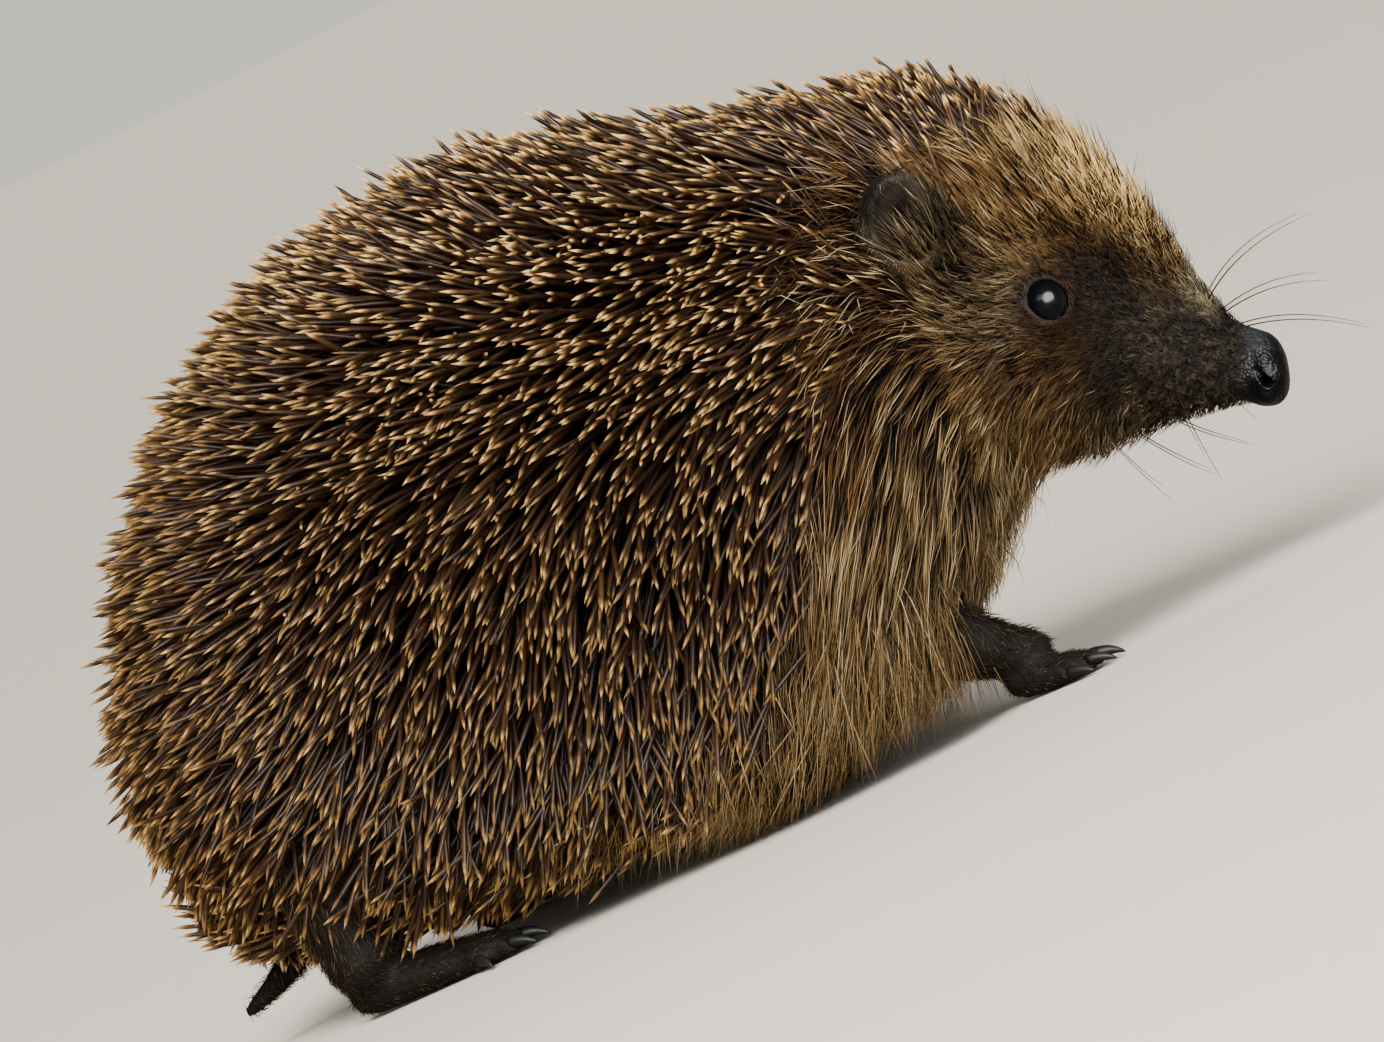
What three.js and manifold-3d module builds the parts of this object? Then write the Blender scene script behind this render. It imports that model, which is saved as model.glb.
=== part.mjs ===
// A life-size European hedgehog, standing on level ground with its back arched and its head lowered.
// It faces +X, its left side is +Y and +Z is up. The origin is at the middle of its footprint, on the ground.
// Every solid reaches to the tips of the spines and hair that cover it. Lengths are in millimetres.
import * as THREE from "three";
import { mergeVertices } from "three/addons/utils/BufferGeometryUtils.js";
import Module from "manifold-3d";

const wasm = await Module();
wasm.setup();

// ---------------------------------------------------------------- driving dimensions
const bodyLength = 192; // from the rump to the tip of the nose
const bodyHeight = 116; // from the ground to the highest spines
const bodyWidth = 109; // across the spines at the middle of the trunk
const gap = 0.3; // left between neighbouring solids
const sides = 30; // facets round the trunk and the head
const trunkRings = 2; // for each section
const headRings = 1.5;

const eyeRadius = 3.6;
const earHeight = 20;
const earWidth = 14;
const earThickness = 1.6;
const forearmRadius = 5;
const shankRadius = 6;
const forefootLength = 17; // wrist to the ends of the toes, without claws
const hindfootLength = 31; // heel to the ends of the toes, without claws
const forefootWidth = 12;
const hindfootWidth = 12.5;
const clawLength = 5.5;
const clawReach = 3.4; // how far a claw reaches ahead of its toe, as it curves down
const footTrack = 25; // from the middle plane to the middle of each foot

// ---------------------------------------------------------------- sections along the body
// Each section is a closed outline on a chord from the throat or belly, `low`, to the back, `top`.
// A point is [share of the length from the rump, share of the height]. `half` is a share of the half width,
// `widest` how far up the chord it lies, and `lift` how far the belly rises between the side skirts.
const sections = [
  { name: "rumpEnd", top: [0.026, 0.54], low: [0.026, 0.172], half: 0.44, widest: 0.46, lift: 0.0 },
  { name: "buttocks", top: [0.081, 0.7], low: [0.088, 0.112], half: 0.69, widest: 0.45, lift: 0.04 },
  { name: "hips", top: [0.158, 0.832], low: [0.177, 0.078], half: 0.855, widest: 0.43, lift: 0.09 },
  { name: "croup", top: [0.25, 0.938], low: [0.28, 0.053], half: 0.95, widest: 0.41, lift: 0.11 },
  { name: "loins", top: [0.368, 0.99], low: [0.389, 0.04], half: 0.99, widest: 0.4, lift: 0.12 },
  { name: "midback", top: [0.477, 0.992], low: [0.487, 0.037], half: 1.0, widest: 0.39, lift: 0.12 },
  { name: "withers", top: [0.592, 0.93], low: [0.57, 0.055], half: 0.94, widest: 0.38, lift: 0.12 },
  { name: "shoulders", top: [0.685, 0.88], low: [0.642, 0.078], half: 0.83, widest: 0.37, lift: 0.09 },
  { name: "neckBase", top: [0.763, 0.848], low: [0.7, 0.128], half: 0.675, widest: 0.38, lift: 0.03 },
  { name: "ears", top: [0.825, 0.822], low: [0.733, 0.196], half: 0.525, widest: 0.4, lift: 0.0 },
  { name: "temples", top: [0.876, 0.764], low: [0.764, 0.248], half: 0.395, widest: 0.4, lift: 0.0 },
  { name: "eyes", top: [0.914, 0.684], low: [0.792, 0.266], half: 0.295, widest: 0.4, lift: 0.0 },
  { name: "cheeks", top: [0.937, 0.602], low: [0.823, 0.25], half: 0.235, widest: 0.4, lift: 0.0 },
  { name: "jowls", top: [0.955, 0.524], low: [0.854, 0.243], half: 0.19, widest: 0.42, lift: 0.0 },
  { name: "snoutBase", top: [0.965, 0.45], low: [0.882, 0.235], half: 0.157, widest: 0.44, lift: 0.0 },
  { name: "snoutMiddle", top: [0.973, 0.393], low: [0.911, 0.224], half: 0.131, widest: 0.46, lift: 0.0 },
  { name: "snoutTip", top: [0.98, 0.345], low: [0.937, 0.214], half: 0.11, widest: 0.48, lift: 0.0 },
  { name: "noseBack", top: [0.985, 0.318], low: [0.96, 0.2], half: 0.095, widest: 0.5, lift: 0.0 },
];
const stationOf = Object.fromEntries(sections.map((s, i) => [s.name, i]));
const loinsEnd = stationOf.midback + 0.5;
const neckEnd = stationOf.ears + 0.5;
const rumpDepth = 6; // how far the rump bulges behind its last section
const rumpSlope = 36; // degrees from the pole to the edge of that bulge, as on a ball
const noseDepth = 6.6; // how far the nose bulges in front of its last section
const noseSlope = 78;

const onPlan = ([along, up]) => new THREE.Vector3((along - 0.5) * bodyLength, 0, up * bodyHeight);
const topLine = new THREE.CatmullRomCurve3(sections.map((s) => onPlan(s.top)));
const lowLine = new THREE.CatmullRomCurve3(sections.map((s) => onPlan(s.low)));
const shapeLine = new THREE.CatmullRomCurve3(sections.map((s) => new THREE.Vector3(s.half, s.widest, s.lift)));

/** The section at a station, which is an index into `sections` and may lie between two of them. */
function sectionAt(station) {
  const t = station / (sections.length - 1);
  const top = topLine.getPoint(t);
  const low = lowLine.getPoint(t);
  const shape = shapeLine.getPoint(t);
  const chord = top.clone().sub(low);
  // Towards the nose, square to the chord.
  const forward = new THREE.Vector3(chord.z, 0, -chord.x).normalize();
  const half = (shape.x * bodyWidth) / 2;
  return { top, low, chord, forward, half, widest: shape.y, lift: Math.max(0, shape.z) };
}

/** One outline as [share of the half width, share of the chord], from the back round by the right side. */
function outline(widest, lift) {
  const boxy = 0.9 - 2.3 * lift; // under 1 squares the underside off
  const skirt = 0.85; // share of the half width inside which the belly rises
  const points = Array.from({ length: sides }, (_, i) => {
    const angle = (2 * Math.PI * i) / sides;
    const across = -Math.sin(angle);
    const up = Math.cos(angle);
    if (up >= 0) return [across, widest + (1 - widest) * up];
    const y = Math.sign(across) * Math.abs(across) ** boxy;
    const rise = Math.max(0, 1 - (y / skirt) ** 2) ** 1.5;
    return [y, widest * (1 - Math.abs(up) ** boxy) + lift * rise];
  });
  const lowest = Math.min(...points.map((p) => p[1]));
  return points.map(([y, h]) => [y, h < widest ? (widest * (h - lowest)) / (widest - lowest) : h]);
}

/** The ring of points of a section, `grow` mm larger all round and moved `shift` mm towards the nose. */
function ringAt(station, grow = 0, shift = 0) {
  const s = sectionAt(station);
  const size = s.chord.length();
  return outline(s.widest, s.lift).map(([y, h]) => {
    const reach = grow * 2 * (h - 0.5);
    return s.low
      .clone()
      .addScaledVector(s.chord, h + reach / size)
      .addScaledVector(s.forward, shift)
      .add(new THREE.Vector3(0, y * (s.half + grow), 0));
  });
}

/**
 * Rings that round a section off to a pole `depth` mm beyond it, without the pole itself. They lie as on a ball,
 * from `slope` degrees off the pole; `fullness` under 1 makes the bulge boxier.
 */
function domeRings(station, depth, slope, count, { grow = 0, fullness = 1 } = {}) {
  const s = sectionAt(station);
  const centre = s.low.clone().addScaledVector(s.chord, 0.5);
  const edge = THREE.MathUtils.degToRad(slope);
  const rings = [];
  for (let i = 1; i <= count; i++) {
    const angle = edge * (1 - i / (count + 1));
    const size = (Math.sin(angle) / Math.sin(edge)) ** fullness;
    const ahead = (depth * (Math.cos(angle) - Math.cos(edge))) / (1 - Math.cos(edge));
    const place = (p) => p.sub(centre).multiplyScalar(size).add(centre).addScaledVector(s.forward, ahead);
    rings.push(ringAt(station, grow).map(place));
  }
  return { rings, pole: centre.clone().addScaledVector(s.forward, depth) };
}

// ---------------------------------------------------------------- making solids
const middleOf = (ring) => ring.reduce((sum, p) => sum.add(p), new THREE.Vector3()).divideScalar(ring.length);

/** A closed mesh through rings of equally many points, with a pole at each end. */
function loft(rings, firstPole = middleOf(rings[0]), lastPole = middleOf(rings.at(-1))) {
  const n = rings[0].length;
  const points = [firstPole, ...rings.flat(), lastPole];
  const last = points.length - 1;
  const faces = [];
  const at = (ring, i) => 1 + ring * n + (i % n);
  for (let i = 0; i < n; i++) {
    faces.push(0, at(0, i + 1), at(0, i));
    faces.push(last, at(rings.length - 1, i), at(rings.length - 1, i + 1));
    for (let r = 0; r + 1 < rings.length; r++) {
      faces.push(at(r, i), at(r, i + 1), at(r + 1, i + 1));
      faces.push(at(r, i), at(r + 1, i + 1), at(r + 1, i));
    }
  }
  return new THREE.BufferGeometry().setFromPoints(points).setIndex(faces);
}

/** A manifold-3d solid of a closed geometry. */
function solid(geometry) {
  const bare = geometry.clone();
  bare.deleteAttribute("normal");
  bare.deleteAttribute("uv");
  const merged = mergeVertices(bare, 1e-4);
  const made = new wasm.Manifold(
    new wasm.Mesh({
      numProp: 3,
      vertProperties: new Float32Array(merged.attributes.position.array),
      triVerts: new Uint32Array(merged.index.array),
    }),
  );
  if (made.volume() <= 0) throw new Error("a solid is empty or inside out");
  return made;
}

/** The geometry of the largest body of a solid, so that slivers left by a cut are dropped. */
function geometryOf(made) {
  const mesh = largest(made).getMesh();
  const points = [];
  for (let at = 0; at < mesh.vertProperties.length; at += mesh.numProp) {
    points.push(...mesh.vertProperties.slice(at, at + 3));
  }
  const geometry = new THREE.BufferGeometry();
  geometry.setAttribute("position", new THREE.Float32BufferAttribute(points, 3));
  geometry.setIndex([...mesh.triVerts]);
  return geometry;
}

const bySize = (made) => made.decompose().sort((a, b) => b.volume() - a.volume());
const largest = (made) => bySize(made)[0];

/** The trunk or head between two stations, with flat ends half a gap short of each. */
function bodyPiece(from, to, { grow = 0, openStart = gap / 2, openEnd = gap / 2, perSection } = {}) {
  const steps = Math.max(1, Math.round((to - from) * (perSection ?? trunkRings)));
  const rings = [];
  for (let i = 0; i <= steps; i++) {
    const shift = i === 0 ? openStart : i === steps ? -openEnd : 0;
    rings.push(ringAt(from + ((to - from) * i) / steps, grow, shift));
  }
  return rings;
}

/**
 * A limb through `points`, with a radius at each, closed by a dome at each end. `flats` are its height as a share
 * of its width at each point, and `bevels` the angles of each dome's rings, in radians from the limb's side.
 */
function limb(points, radii, { grow = 0, around = 10, steps = 4, flats, bevels = [0.8] } = {}) {
  const line = new THREE.CatmullRomCurve3(points);
  const girthLine = new THREE.CatmullRomCurve3(radii.map((r, i) => new THREE.Vector3(i, r, flats?.[i] ?? 1)));
  const ring = (t, size, slide) => {
    const flat = girthLine.getPoint(t).z;
    const centre = line.getPoint(t);
    const along = line.getTangent(t);
    const across = new THREE.Vector3(0, 0, 1).cross(along).normalize();
    const up = along.clone().cross(across).normalize();
    centre.addScaledVector(along, slide);
    return Array.from({ length: around }, (_, i) => {
      const angle = (2 * Math.PI * i) / around;
      return centre
        .clone()
        .addScaledVector(across, -Math.sin(angle) * size)
        .addScaledVector(up, Math.cos(angle) * size * flat);
    });
  };
  const rings = [];
  const radiusAt = (t) => girthLine.getPoint(t).y + grow;
  for (const b of bevels) rings.push(ring(0, radiusAt(0) * Math.cos(b), -radiusAt(0) * Math.sin(b)));
  for (let i = 0; i <= steps; i++) rings.push(ring(i / steps, radiusAt(i / steps), 0));
  for (const b of bevels.toReversed()) rings.push(ring(1, radiusAt(1) * Math.cos(b), radiusAt(1) * Math.sin(b)));
  const start = line.getPoint(0).addScaledVector(line.getTangent(0), -radiusAt(0));
  const end = line.getPoint(1).addScaledVector(line.getTangent(1), radiusAt(1));
  return loft(rings, start, end);
}

const v = (x, y, z) => new THREE.Vector3(x, y, z);

/** Everything below the ground, for cutting the soles flat. */
const groundSize = 400;
const ground = solid(new THREE.BoxGeometry(groundSize, groundSize, groundSize).translate(0, 0, -groundSize / 2));

// ---------------------------------------------------------------- materials
const finish = (color, roughness) => new THREE.MeshStandardMaterial({ color, roughness, metalness: 0 });
const spines = finish("#4a3a28", 0.55);
const fur = finish("#8a7350", 0.85);
const faceFur = finish("#6d5a44", 0.85);
const limbFur = finish("#2b231e", 0.8);
const earSkin = finish("#3b342e", 0.7);
const noseSkin = finish("#15161a", 0.35);
const eyeBlack = finish("#08080c", 0.08);
const horn = finish("#3c3a38", 0.4);

const hedgehog = new THREE.Group();

function add(name, geometry, material, parent = hedgehog) {
  const mesh = new THREE.Mesh(geometry, material);
  mesh.name = name;
  parent.add(mesh);
  return mesh;
}

// ---------------------------------------------------------------- trunk
const rumpDome = (grow = 0) => {
  const dome = domeRings(stationOf.rumpEnd, -rumpDepth, rumpSlope, 3, { grow });
  return { rings: dome.rings.toReversed(), pole: dome.pole };
};
const noseFullness = 0.75;
const noseDome = (grow = 0) =>
  domeRings(stationOf.noseBack, noseDepth, noseSlope, 3, { grow, fullness: noseFullness });

function wholeBody(grow) {
  const rings = bodyPiece(0, sections.length - 1, { grow, openStart: 0, openEnd: 0 });
  const back = rumpDome(grow);
  const front = noseDome(grow);
  return solid(loft([...back.rings, ...rings, ...front.rings], back.pole, front.pole));
}
const keepOut = wholeBody(gap); // what the limbs, ears and tail stay clear of

function addTrunk() {
  const rumpRings = bodyPiece(0, stationOf.croup, { openStart: 0 });
  const dome = rumpDome();
  add("rump", geometryOf(solid(loft([...dome.rings, ...rumpRings], dome.pole))), spines);
  add("loins", loft(bodyPiece(stationOf.croup, loinsEnd)), spines);
  const shoulders = solid(loft(bodyPiece(loinsEnd, stationOf.neckBase)));
  add("shoulders", geometryOf(shoulders.subtract(earSockets)), spines);
  const neck = solid(loft(bodyPiece(stationOf.neckBase, neckEnd)));
  add("neck", geometryOf(neck.subtract(earSockets)), fur);
}

function addTail() {
  const root = onPlan([0.1, 0.135]);
  const tip = onPlan([0.02, 0.062]);
  const middle = root.clone().lerp(tip, 0.5).add(v(0, 0, -1));
  const tail = solid(limb([root, middle, tip], [3.4, 2.6, 1.4], { steps: 3 }));
  add("tail", geometryOf(tail.subtract(keepOut)), limbFur);
}

// ---------------------------------------------------------------- head
/** A point on the skin side of a section, `up` along its chord, on side +1 (left) or -1 (right). */
function flank(station, up, side) {
  const s = sectionAt(station);
  const above = up >= s.widest ? (up - s.widest) / (1 - s.widest) : (s.widest - up) / s.widest;
  const reach = s.half * Math.sqrt(1 - above ** 2);
  return s.low.clone().addScaledVector(s.chord, up).add(v(0, side * reach, 0));
}

const eyeSink = 1.5; // how deep the middle of the eye lies under the coat
const eyePlace = (side) => flank(stationOf.eyes, 0.46, side).add(v(0, -side * eyeSink, 0));
const eyeBall = (side, grow = 0) => {
  const at = eyePlace(side);
  return new THREE.SphereGeometry(eyeRadius + grow, 14, 9).translate(at.x, at.y, at.z);
};

/** A cupped ear, as a flattened ball bent forward round its own height. */
function ear(side, grow = 0) {
  const made = new THREE.SphereGeometry(1, 16, 10);
  const position = made.attributes.position;
  const p = v(0, 0, 0);
  const cup = 0.022; // how strongly the rim bends outwards round the hollow, per mm
  for (let i = 0; i < position.count; i++) {
    p.fromBufferAttribute(position, i);
    const across = p.x * (earWidth / 2 + grow);
    const up = p.z * (earHeight / 2 + grow);
    const bend = cup * (across ** 2 + 0.4 * up ** 2);
    position.setXYZ(i, across, p.y * (earThickness / 2 + grow) + bend * side, up);
  }
  made.rotateX(side * -THREE.MathUtils.degToRad(14)); // the top leans outwards
  made.rotateZ(side * THREE.MathUtils.degToRad(-24)); // the hollow turns forwards
  made.rotateY(THREE.MathUtils.degToRad(22)); // the top leans forwards
  const root = flank(stationOf.ears - 0.45, 0.7, side);
  return made.translate(root.x, root.y + side * 1.5, root.z);
}
const earSockets = solid(ear(1, gap)).add(solid(ear(-1, gap)));

/** A sheet one gap thick along the mouth and up behind the jaw, which parts the lower jaw from the head. */
function mouthCut() {
  const lip = onPlan([0.946, 0.226]);
  const front = lip.clone().add(v(0.6, 0, -8));
  const middle = onPlan([0.905, 0.262]);
  const corner = onPlan([0.856, 0.296]);
  const back = onPlan([0.815, 0.2]);
  const path = [front, lip, middle, corner, back];
  const shape = new THREE.Shape();
  const offset = (i, by) => {
    const a = path[Math.max(0, i - 1)];
    const b = path[Math.min(path.length - 1, i + 1)];
    const along = b.clone().sub(a).normalize();
    return [path[i].x - along.z * by, path[i].z + along.x * by];
  };
  path.forEach((_, i) => (i ? shape.lineTo(...offset(i, gap / 2)) : shape.moveTo(...offset(0, gap / 2))));
  path.toReversed().forEach((_, i) => shape.lineTo(...offset(path.length - 1 - i, -gap / 2)));
  const depth = bodyWidth;
  const sheet = new THREE.ExtrudeGeometry(shape, { depth, bevelEnabled: false });
  return solid(sheet.rotateX(Math.PI / 2).translate(0, depth / 2, 0));
}

function addHead() {
  const cut = mouthCut();
  const eyeSockets = solid(eyeBall(1, gap)).add(solid(eyeBall(-1, gap)));
  const head = solid(loft(bodyPiece(neckEnd, stationOf.snoutBase, { perSection: headRings })));
  add("head", geometryOf(head.subtract(cut).subtract(eyeSockets).subtract(earSockets)), faceFur);
  const snout = solid(loft(bodyPiece(stationOf.snoutBase, stationOf.noseBack, { perSection: headRings })));
  add("snout", geometryOf(snout.subtract(cut)), faceFur);
  const muzzle = solid(loft(bodyPiece(neckEnd, stationOf.noseBack, { perSection: headRings })));
  add("lower_jaw", geometryOf(bySize(muzzle.subtract(cut))[1]), faceFur);
}

function addNose() {
  const ringStart = ringAt(stationOf.noseBack, 0, gap / 2);
  const dome = noseDome();
  const nostrilRadius = 1.2;
  const s = sectionAt(stationOf.noseBack);
  let nose = solid(loft([ringStart, ...dome.rings], middleOf(ringStart), dome.pole));
  for (const side of [1, -1]) {
    const at = s.low.clone().addScaledVector(s.chord, 0.45).addScaledVector(s.forward, 2.2);
    const ball = new THREE.SphereGeometry(nostrilRadius, 8, 5).translate(at.x, side * (s.half * 0.72), at.z);
    nose = nose.subtract(solid(ball));
  }
  add("nose", geometryOf(nose), noseSkin);
}

function addEyesAndEars() {
  for (const [name, side] of [["left", 1], ["right", -1]]) {
    add(`eye_${name}`, eyeBall(side), eyeBlack);
    add(`ear_${name}`, ear(side), earSkin);
  }
}

// ---------------------------------------------------------------- legs and feet
// A foot is built at the origin, pointing along +X, with its sole at z = 0. `toes` are
// [share of the foot's width across, share of its length, radius].
const feet = {
  fore: {
    length: forefootLength,
    width: forefootWidth,
    palm: 0.62,
    height: 8.4,
    toes: [[-0.42, 0.72, 1.4], [-0.24, 0.92, 1.7], [0, 1, 1.8], [0.24, 0.94, 1.7], [0.43, 0.76, 1.5]],
  },
  hind: {
    length: hindfootLength,
    width: hindfootWidth,
    palm: 0.8,
    height: 8.8,
    toes: [[-0.42, 0.78, 1.5], [-0.23, 0.95, 1.8], [0, 1, 1.9], [0.23, 0.96, 1.8], [0.42, 0.84, 1.5]],
  },
};

/** The middle of the ball of a foot, which its toes leave. */
const ballOf = ({ length, palm, height }) => v(length * palm - 2, 0, height * 0.24);

/** The foot's flesh as one solid. `side` mirrors the toes, so that the first is always the inner one. */
function footSolid(kind, side, grow = 0) {
  const { width, height, toes } = kind;
  const heel = v(height * 0.42, 0, height * 0.42);
  const ball = ballOf(kind);
  const middle = heel.clone().lerp(ball, 0.5).add(v(0, 0, 0.4));
  const radii = [height * 0.44, width * 0.42, width * 0.46];
  const flats = [0.95, 0.75, 0.6];
  let foot = solid(limb([heel, middle, ball], radii, { grow, around: 10, steps: 3, flats }));
  for (const toe of toes) foot = foot.add(solid(toeShape(toe, side, kind, grow)));
  return foot.subtract(grow ? ground.translate([0, 0, -2 * grow]) : ground);
}

function toeEnds([across, reach, radius], side, kind) {
  const ball = ballOf(kind);
  const y = -side * across * kind.width;
  const root = v(ball.x - 1.5, y * 0.7, ball.z + 0.8);
  return { root, tip: v(reach * kind.length - radius, y * 1.08, radius * 0.86) };
}

function toeShape(toe, side, kind, grow) {
  const { root, tip } = toeEnds(toe, side, kind);
  const knuckle = root.clone().lerp(tip, 0.55).add(v(0, 0, 0.9));
  const radius = toe[2];
  return limb([root, knuckle, tip], [radius * 1.1, radius * 1.05, radius], { grow, around: 6, steps: 2 });
}

/** A claw that leaves its toe's end and curves down to just above the ground. */
function claw(toe, side, kind, grow = 0) {
  const { root, tip } = toeEnds(toe, side, kind);
  const ahead = tip.clone().sub(root).setZ(0).normalize();
  const start = tip.clone().addScaledVector(ahead, toe[2] * 0.35).add(v(0, 0, 0.5));
  const end = start.clone().addScaledVector(ahead, clawReach).setZ(0.5);
  const bend = start.clone().lerp(end, 0.5).add(v(0, 0, (clawLength - clawReach) * 0.4));
  return limb([start, bend, end], [0.95, 0.72, 0.28], { grow, around: 5, steps: 2 });
}

/** One leg: the visible shaft from the coat's edge to the foot, the foot and its five claws. */
function addLeg({ name, footName, shaftName, kind, side, at, turn, joints, radii }) {
  const group = new THREE.Group();
  group.position.set(at[0], at[1], 0);
  group.rotation.z = THREE.MathUtils.degToRad(turn);
  group.updateMatrixWorld(true);
  hedgehog.add(group);

  const local = (geometry) => geometry.applyMatrix4(group.matrixWorld.clone().invert());
  const placed = group.matrixWorld.elements;
  const clawSolids = kind.toes.map((toe) => solid(claw(toe, side, kind, gap)));
  const foot = footSolid(kind, side);
  const footWorld = (made) => made.transform([...placed]);

  const footCut = footWorld(clawSolids.reduce((left, c) => left.subtract(c), foot)).subtract(keepOut);
  add(`${footName}_${name}`, local(geometryOf(footCut)), limbFur, group);

  const shaft = solid(limb(joints.map((j) => v(...j)), radii));
  const footGrown = footWorld(footSolid(kind, side, gap));
  const shaftCut = shaft.subtract(keepOut).subtract(footGrown).subtract(ground);
  add(`${shaftName}_${name}`, geometryOf(shaftCut), limbFur);

  kind.toes.forEach((toe, i) => add(`claw_${footName}_${name}_${i + 1}`, claw(toe, side, kind), horn, group));
}

/** A foreleg whose wrist is at x; the elbow lies inside the coat, behind and above it. */
function addForeleg(name, side, x, turn, elbow) {
  const y = side * footTrack;
  addLeg({
    name,
    footName: "forepaw",
    shaftName: "forearm",
    kind: feet.fore,
    side,
    at: [x, y],
    turn,
    joints: [elbow, [x - 3, y + side * 0.5, 11.6], [x + 6, y, 6.8]],
    radii: [forearmRadius * 1.35, forearmRadius, forearmRadius * 0.84],
  });
}

/** A hind leg whose heel is at x; the knee lies inside the coat, ahead of and above it. */
function addHindleg(name, side, x, turn) {
  const y = side * footTrack;
  addLeg({
    name,
    footName: "hindfoot",
    shaftName: "shank",
    kind: feet.hind,
    side,
    at: [x, y],
    turn,
    joints: [[x + 20, y + side * 2, 27], [x + 10, y + side, 15], [x + 4.5, y, 6]],
    radii: [shankRadius * 1.5, shankRadius, shankRadius * 0.72],
  });
}

// ---------------------------------------------------------------- the whole animal
const along = (share) => (share - 0.5) * bodyLength;

addTrunk();
addTail();
addHead();
addNose();
addEyesAndEars();
addForeleg("right", -1, along(0.683), -4, [along(0.568), -footTrack - 2, 22]);
addForeleg("left", 1, along(0.44), 6, [along(0.385), footTrack + 2, 24]);
addHindleg("right", -1, along(0.105), -10);
addHindleg("left", 1, along(0.215), 10);

// The origin goes to the middle of the footprint of everything, on the ground.
const extent = new THREE.Box3().setFromObject(hedgehog, true);
const middle = extent.getCenter(new THREE.Vector3());
hedgehog.position.set(-middle.x, -middle.y, -extent.min.z);
hedgehog.updateMatrixWorld(true);

export default hedgehog;
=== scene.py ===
"""A life-size model of a European hedgehog: skin, eyes, nose, claws, spines, fur and whiskers."""
import math

import bpy
import numpy as np
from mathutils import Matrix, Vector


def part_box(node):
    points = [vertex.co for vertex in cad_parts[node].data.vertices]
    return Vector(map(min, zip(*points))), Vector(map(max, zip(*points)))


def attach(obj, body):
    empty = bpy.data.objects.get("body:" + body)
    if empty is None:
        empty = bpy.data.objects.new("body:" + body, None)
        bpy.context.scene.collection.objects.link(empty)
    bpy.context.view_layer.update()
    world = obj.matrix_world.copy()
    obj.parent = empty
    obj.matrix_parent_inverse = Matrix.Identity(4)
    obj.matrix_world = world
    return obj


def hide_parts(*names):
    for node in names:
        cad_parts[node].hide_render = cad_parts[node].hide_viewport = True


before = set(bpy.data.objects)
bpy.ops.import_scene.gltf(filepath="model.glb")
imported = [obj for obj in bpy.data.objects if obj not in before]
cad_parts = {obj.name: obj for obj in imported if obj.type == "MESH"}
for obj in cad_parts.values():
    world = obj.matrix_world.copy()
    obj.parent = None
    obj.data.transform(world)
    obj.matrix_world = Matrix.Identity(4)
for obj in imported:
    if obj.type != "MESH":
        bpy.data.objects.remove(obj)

import openvdb as vdb
from bpy.props import FloatProperty, FloatVectorProperty, IntProperty, PointerProperty
from mathutils import Matrix, Vector

bl_info = {
    "name": "Hedgehog Maker",
    "version": (1, 0, 0),
    "blender": (4, 5, 0),
    "location": "View3D > Sidebar > Hedgehog",
    "description": "Dresses a solid hedgehog with skin, spines, fur, eyes, nose, claws and whiskers",
    "category": "Object",
}

MM = 0.001
SIDES = (("right", -1), ("left", 1))
LIMB_PARTS = ("forearm", "forepaw", "shank", "hindfoot")
TRUNK = ("rump", "loins", "shoulders", "neck", "head", "snout", "lower_jaw")
LIMBS = ("tail", *(f"{part}_{side}" for part in LIMB_PARTS for side, _ in SIDES))
EARS = ("ear_right", "ear_left")
EYES = ("eye_right", "eye_left")

# Lengths are in millimetres, apart from the properties, the bumps and the stage, which are in metres as Blender
# keeps them. The animal looks along x, its left side is towards y, and z is up.
BODY_BLOCK = ((-100, -58, -1.2), (101, 58, 119))  # lowest and highest corner of the voxels that hold the skin
DEEPEST_COAT = 24  # how far under the coat its outside is still measured
OUTER_REACH = 7  # how far outside a form its distance is measured
LIMB_HAIR = 0.35  # depth of the limbs' hair
EYE_RADIUS = 3.6
EYE_WAY = (0.42, 0.88, 0.22)  # where the left eye looks
LID_RADIUS, LID_HEIGHT, LID_THICKNESS = 3.5, 0.75, 0.5  # round the eye, and how far it stands out of its middle
NOSE_MIDDLE = np.array([92.3, 0.0, 28.5])
NOSE_AHEAD, NOSE_UP = np.array([0.899, 0, -0.438]), np.array([0.438, 0, 0.899])
# Cut into each half of the nose: where a groove starts and ends, its radii and how soft its edges are.
NOSE_GROOVES = (
    ((-1.1, 5.1, -0.1), (0.8, 4.9, -2.0), (0.45, 0.7), 0.4),  # the nostril, from its slit
    ((0.5, 4.9, -1.8), (0.0, 2.4, -1.6), (0.72, 0.5), 0.4),  # the nostril, inwards
    ((-1.4, 5.1, 0.1), (-1.9, 5.0, -2.0), (0.3, 0.25), 0.4),  # the slit behind it
    ((-3.1, 4.6, 2.6), (-3.2, 5.2, -1.0), (0.25,), 0.5),  # the edge of the pad, above
    ((-3.2, 5.2, -1.0), (-1.8, 3.9, -5.0), (0.25,), 0.5),  # the edge of the pad, below
)
EAR_LEAN = math.radians(12)
EAR_AHEAD = np.array([math.cos(EAR_LEAN), 0, -math.sin(EAR_LEAN)])
EAR_UP = np.array([math.sin(EAR_LEAN), 0, math.cos(EAR_LEAN)])
EAR_CLEARANCE = 8.5  # kept free of spines round the middle of an ear
FLOOR_GAP = 0.03  # between the floor and the soles
HEAD_BACK, HEAD_FRONT, THROAT = 50, 93.4, 18  # x from and to, and z above which the head has short hair
APRON_BACK, APRON_FRONT = -40, 52  # x between which the sides have long hair
BELLY_FRONT, BELLY_TOP, BELLY_SIDE = 36, 30, 46  # x, z and distance from the middle below which there is belly hair
SPINES_FRONT = 84  # x as far as which spines may root
SPINE_COVER = 3.5  # the least depth of the coat that has spines
STRAY_TIP = 4.5  # how far a spine may end outside the coat

TUFT_PATCH = 0.003  # side of one tuft's patch on the unwrap
MOST_TRIANGLES = 199000  # in one piece of the coat

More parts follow.
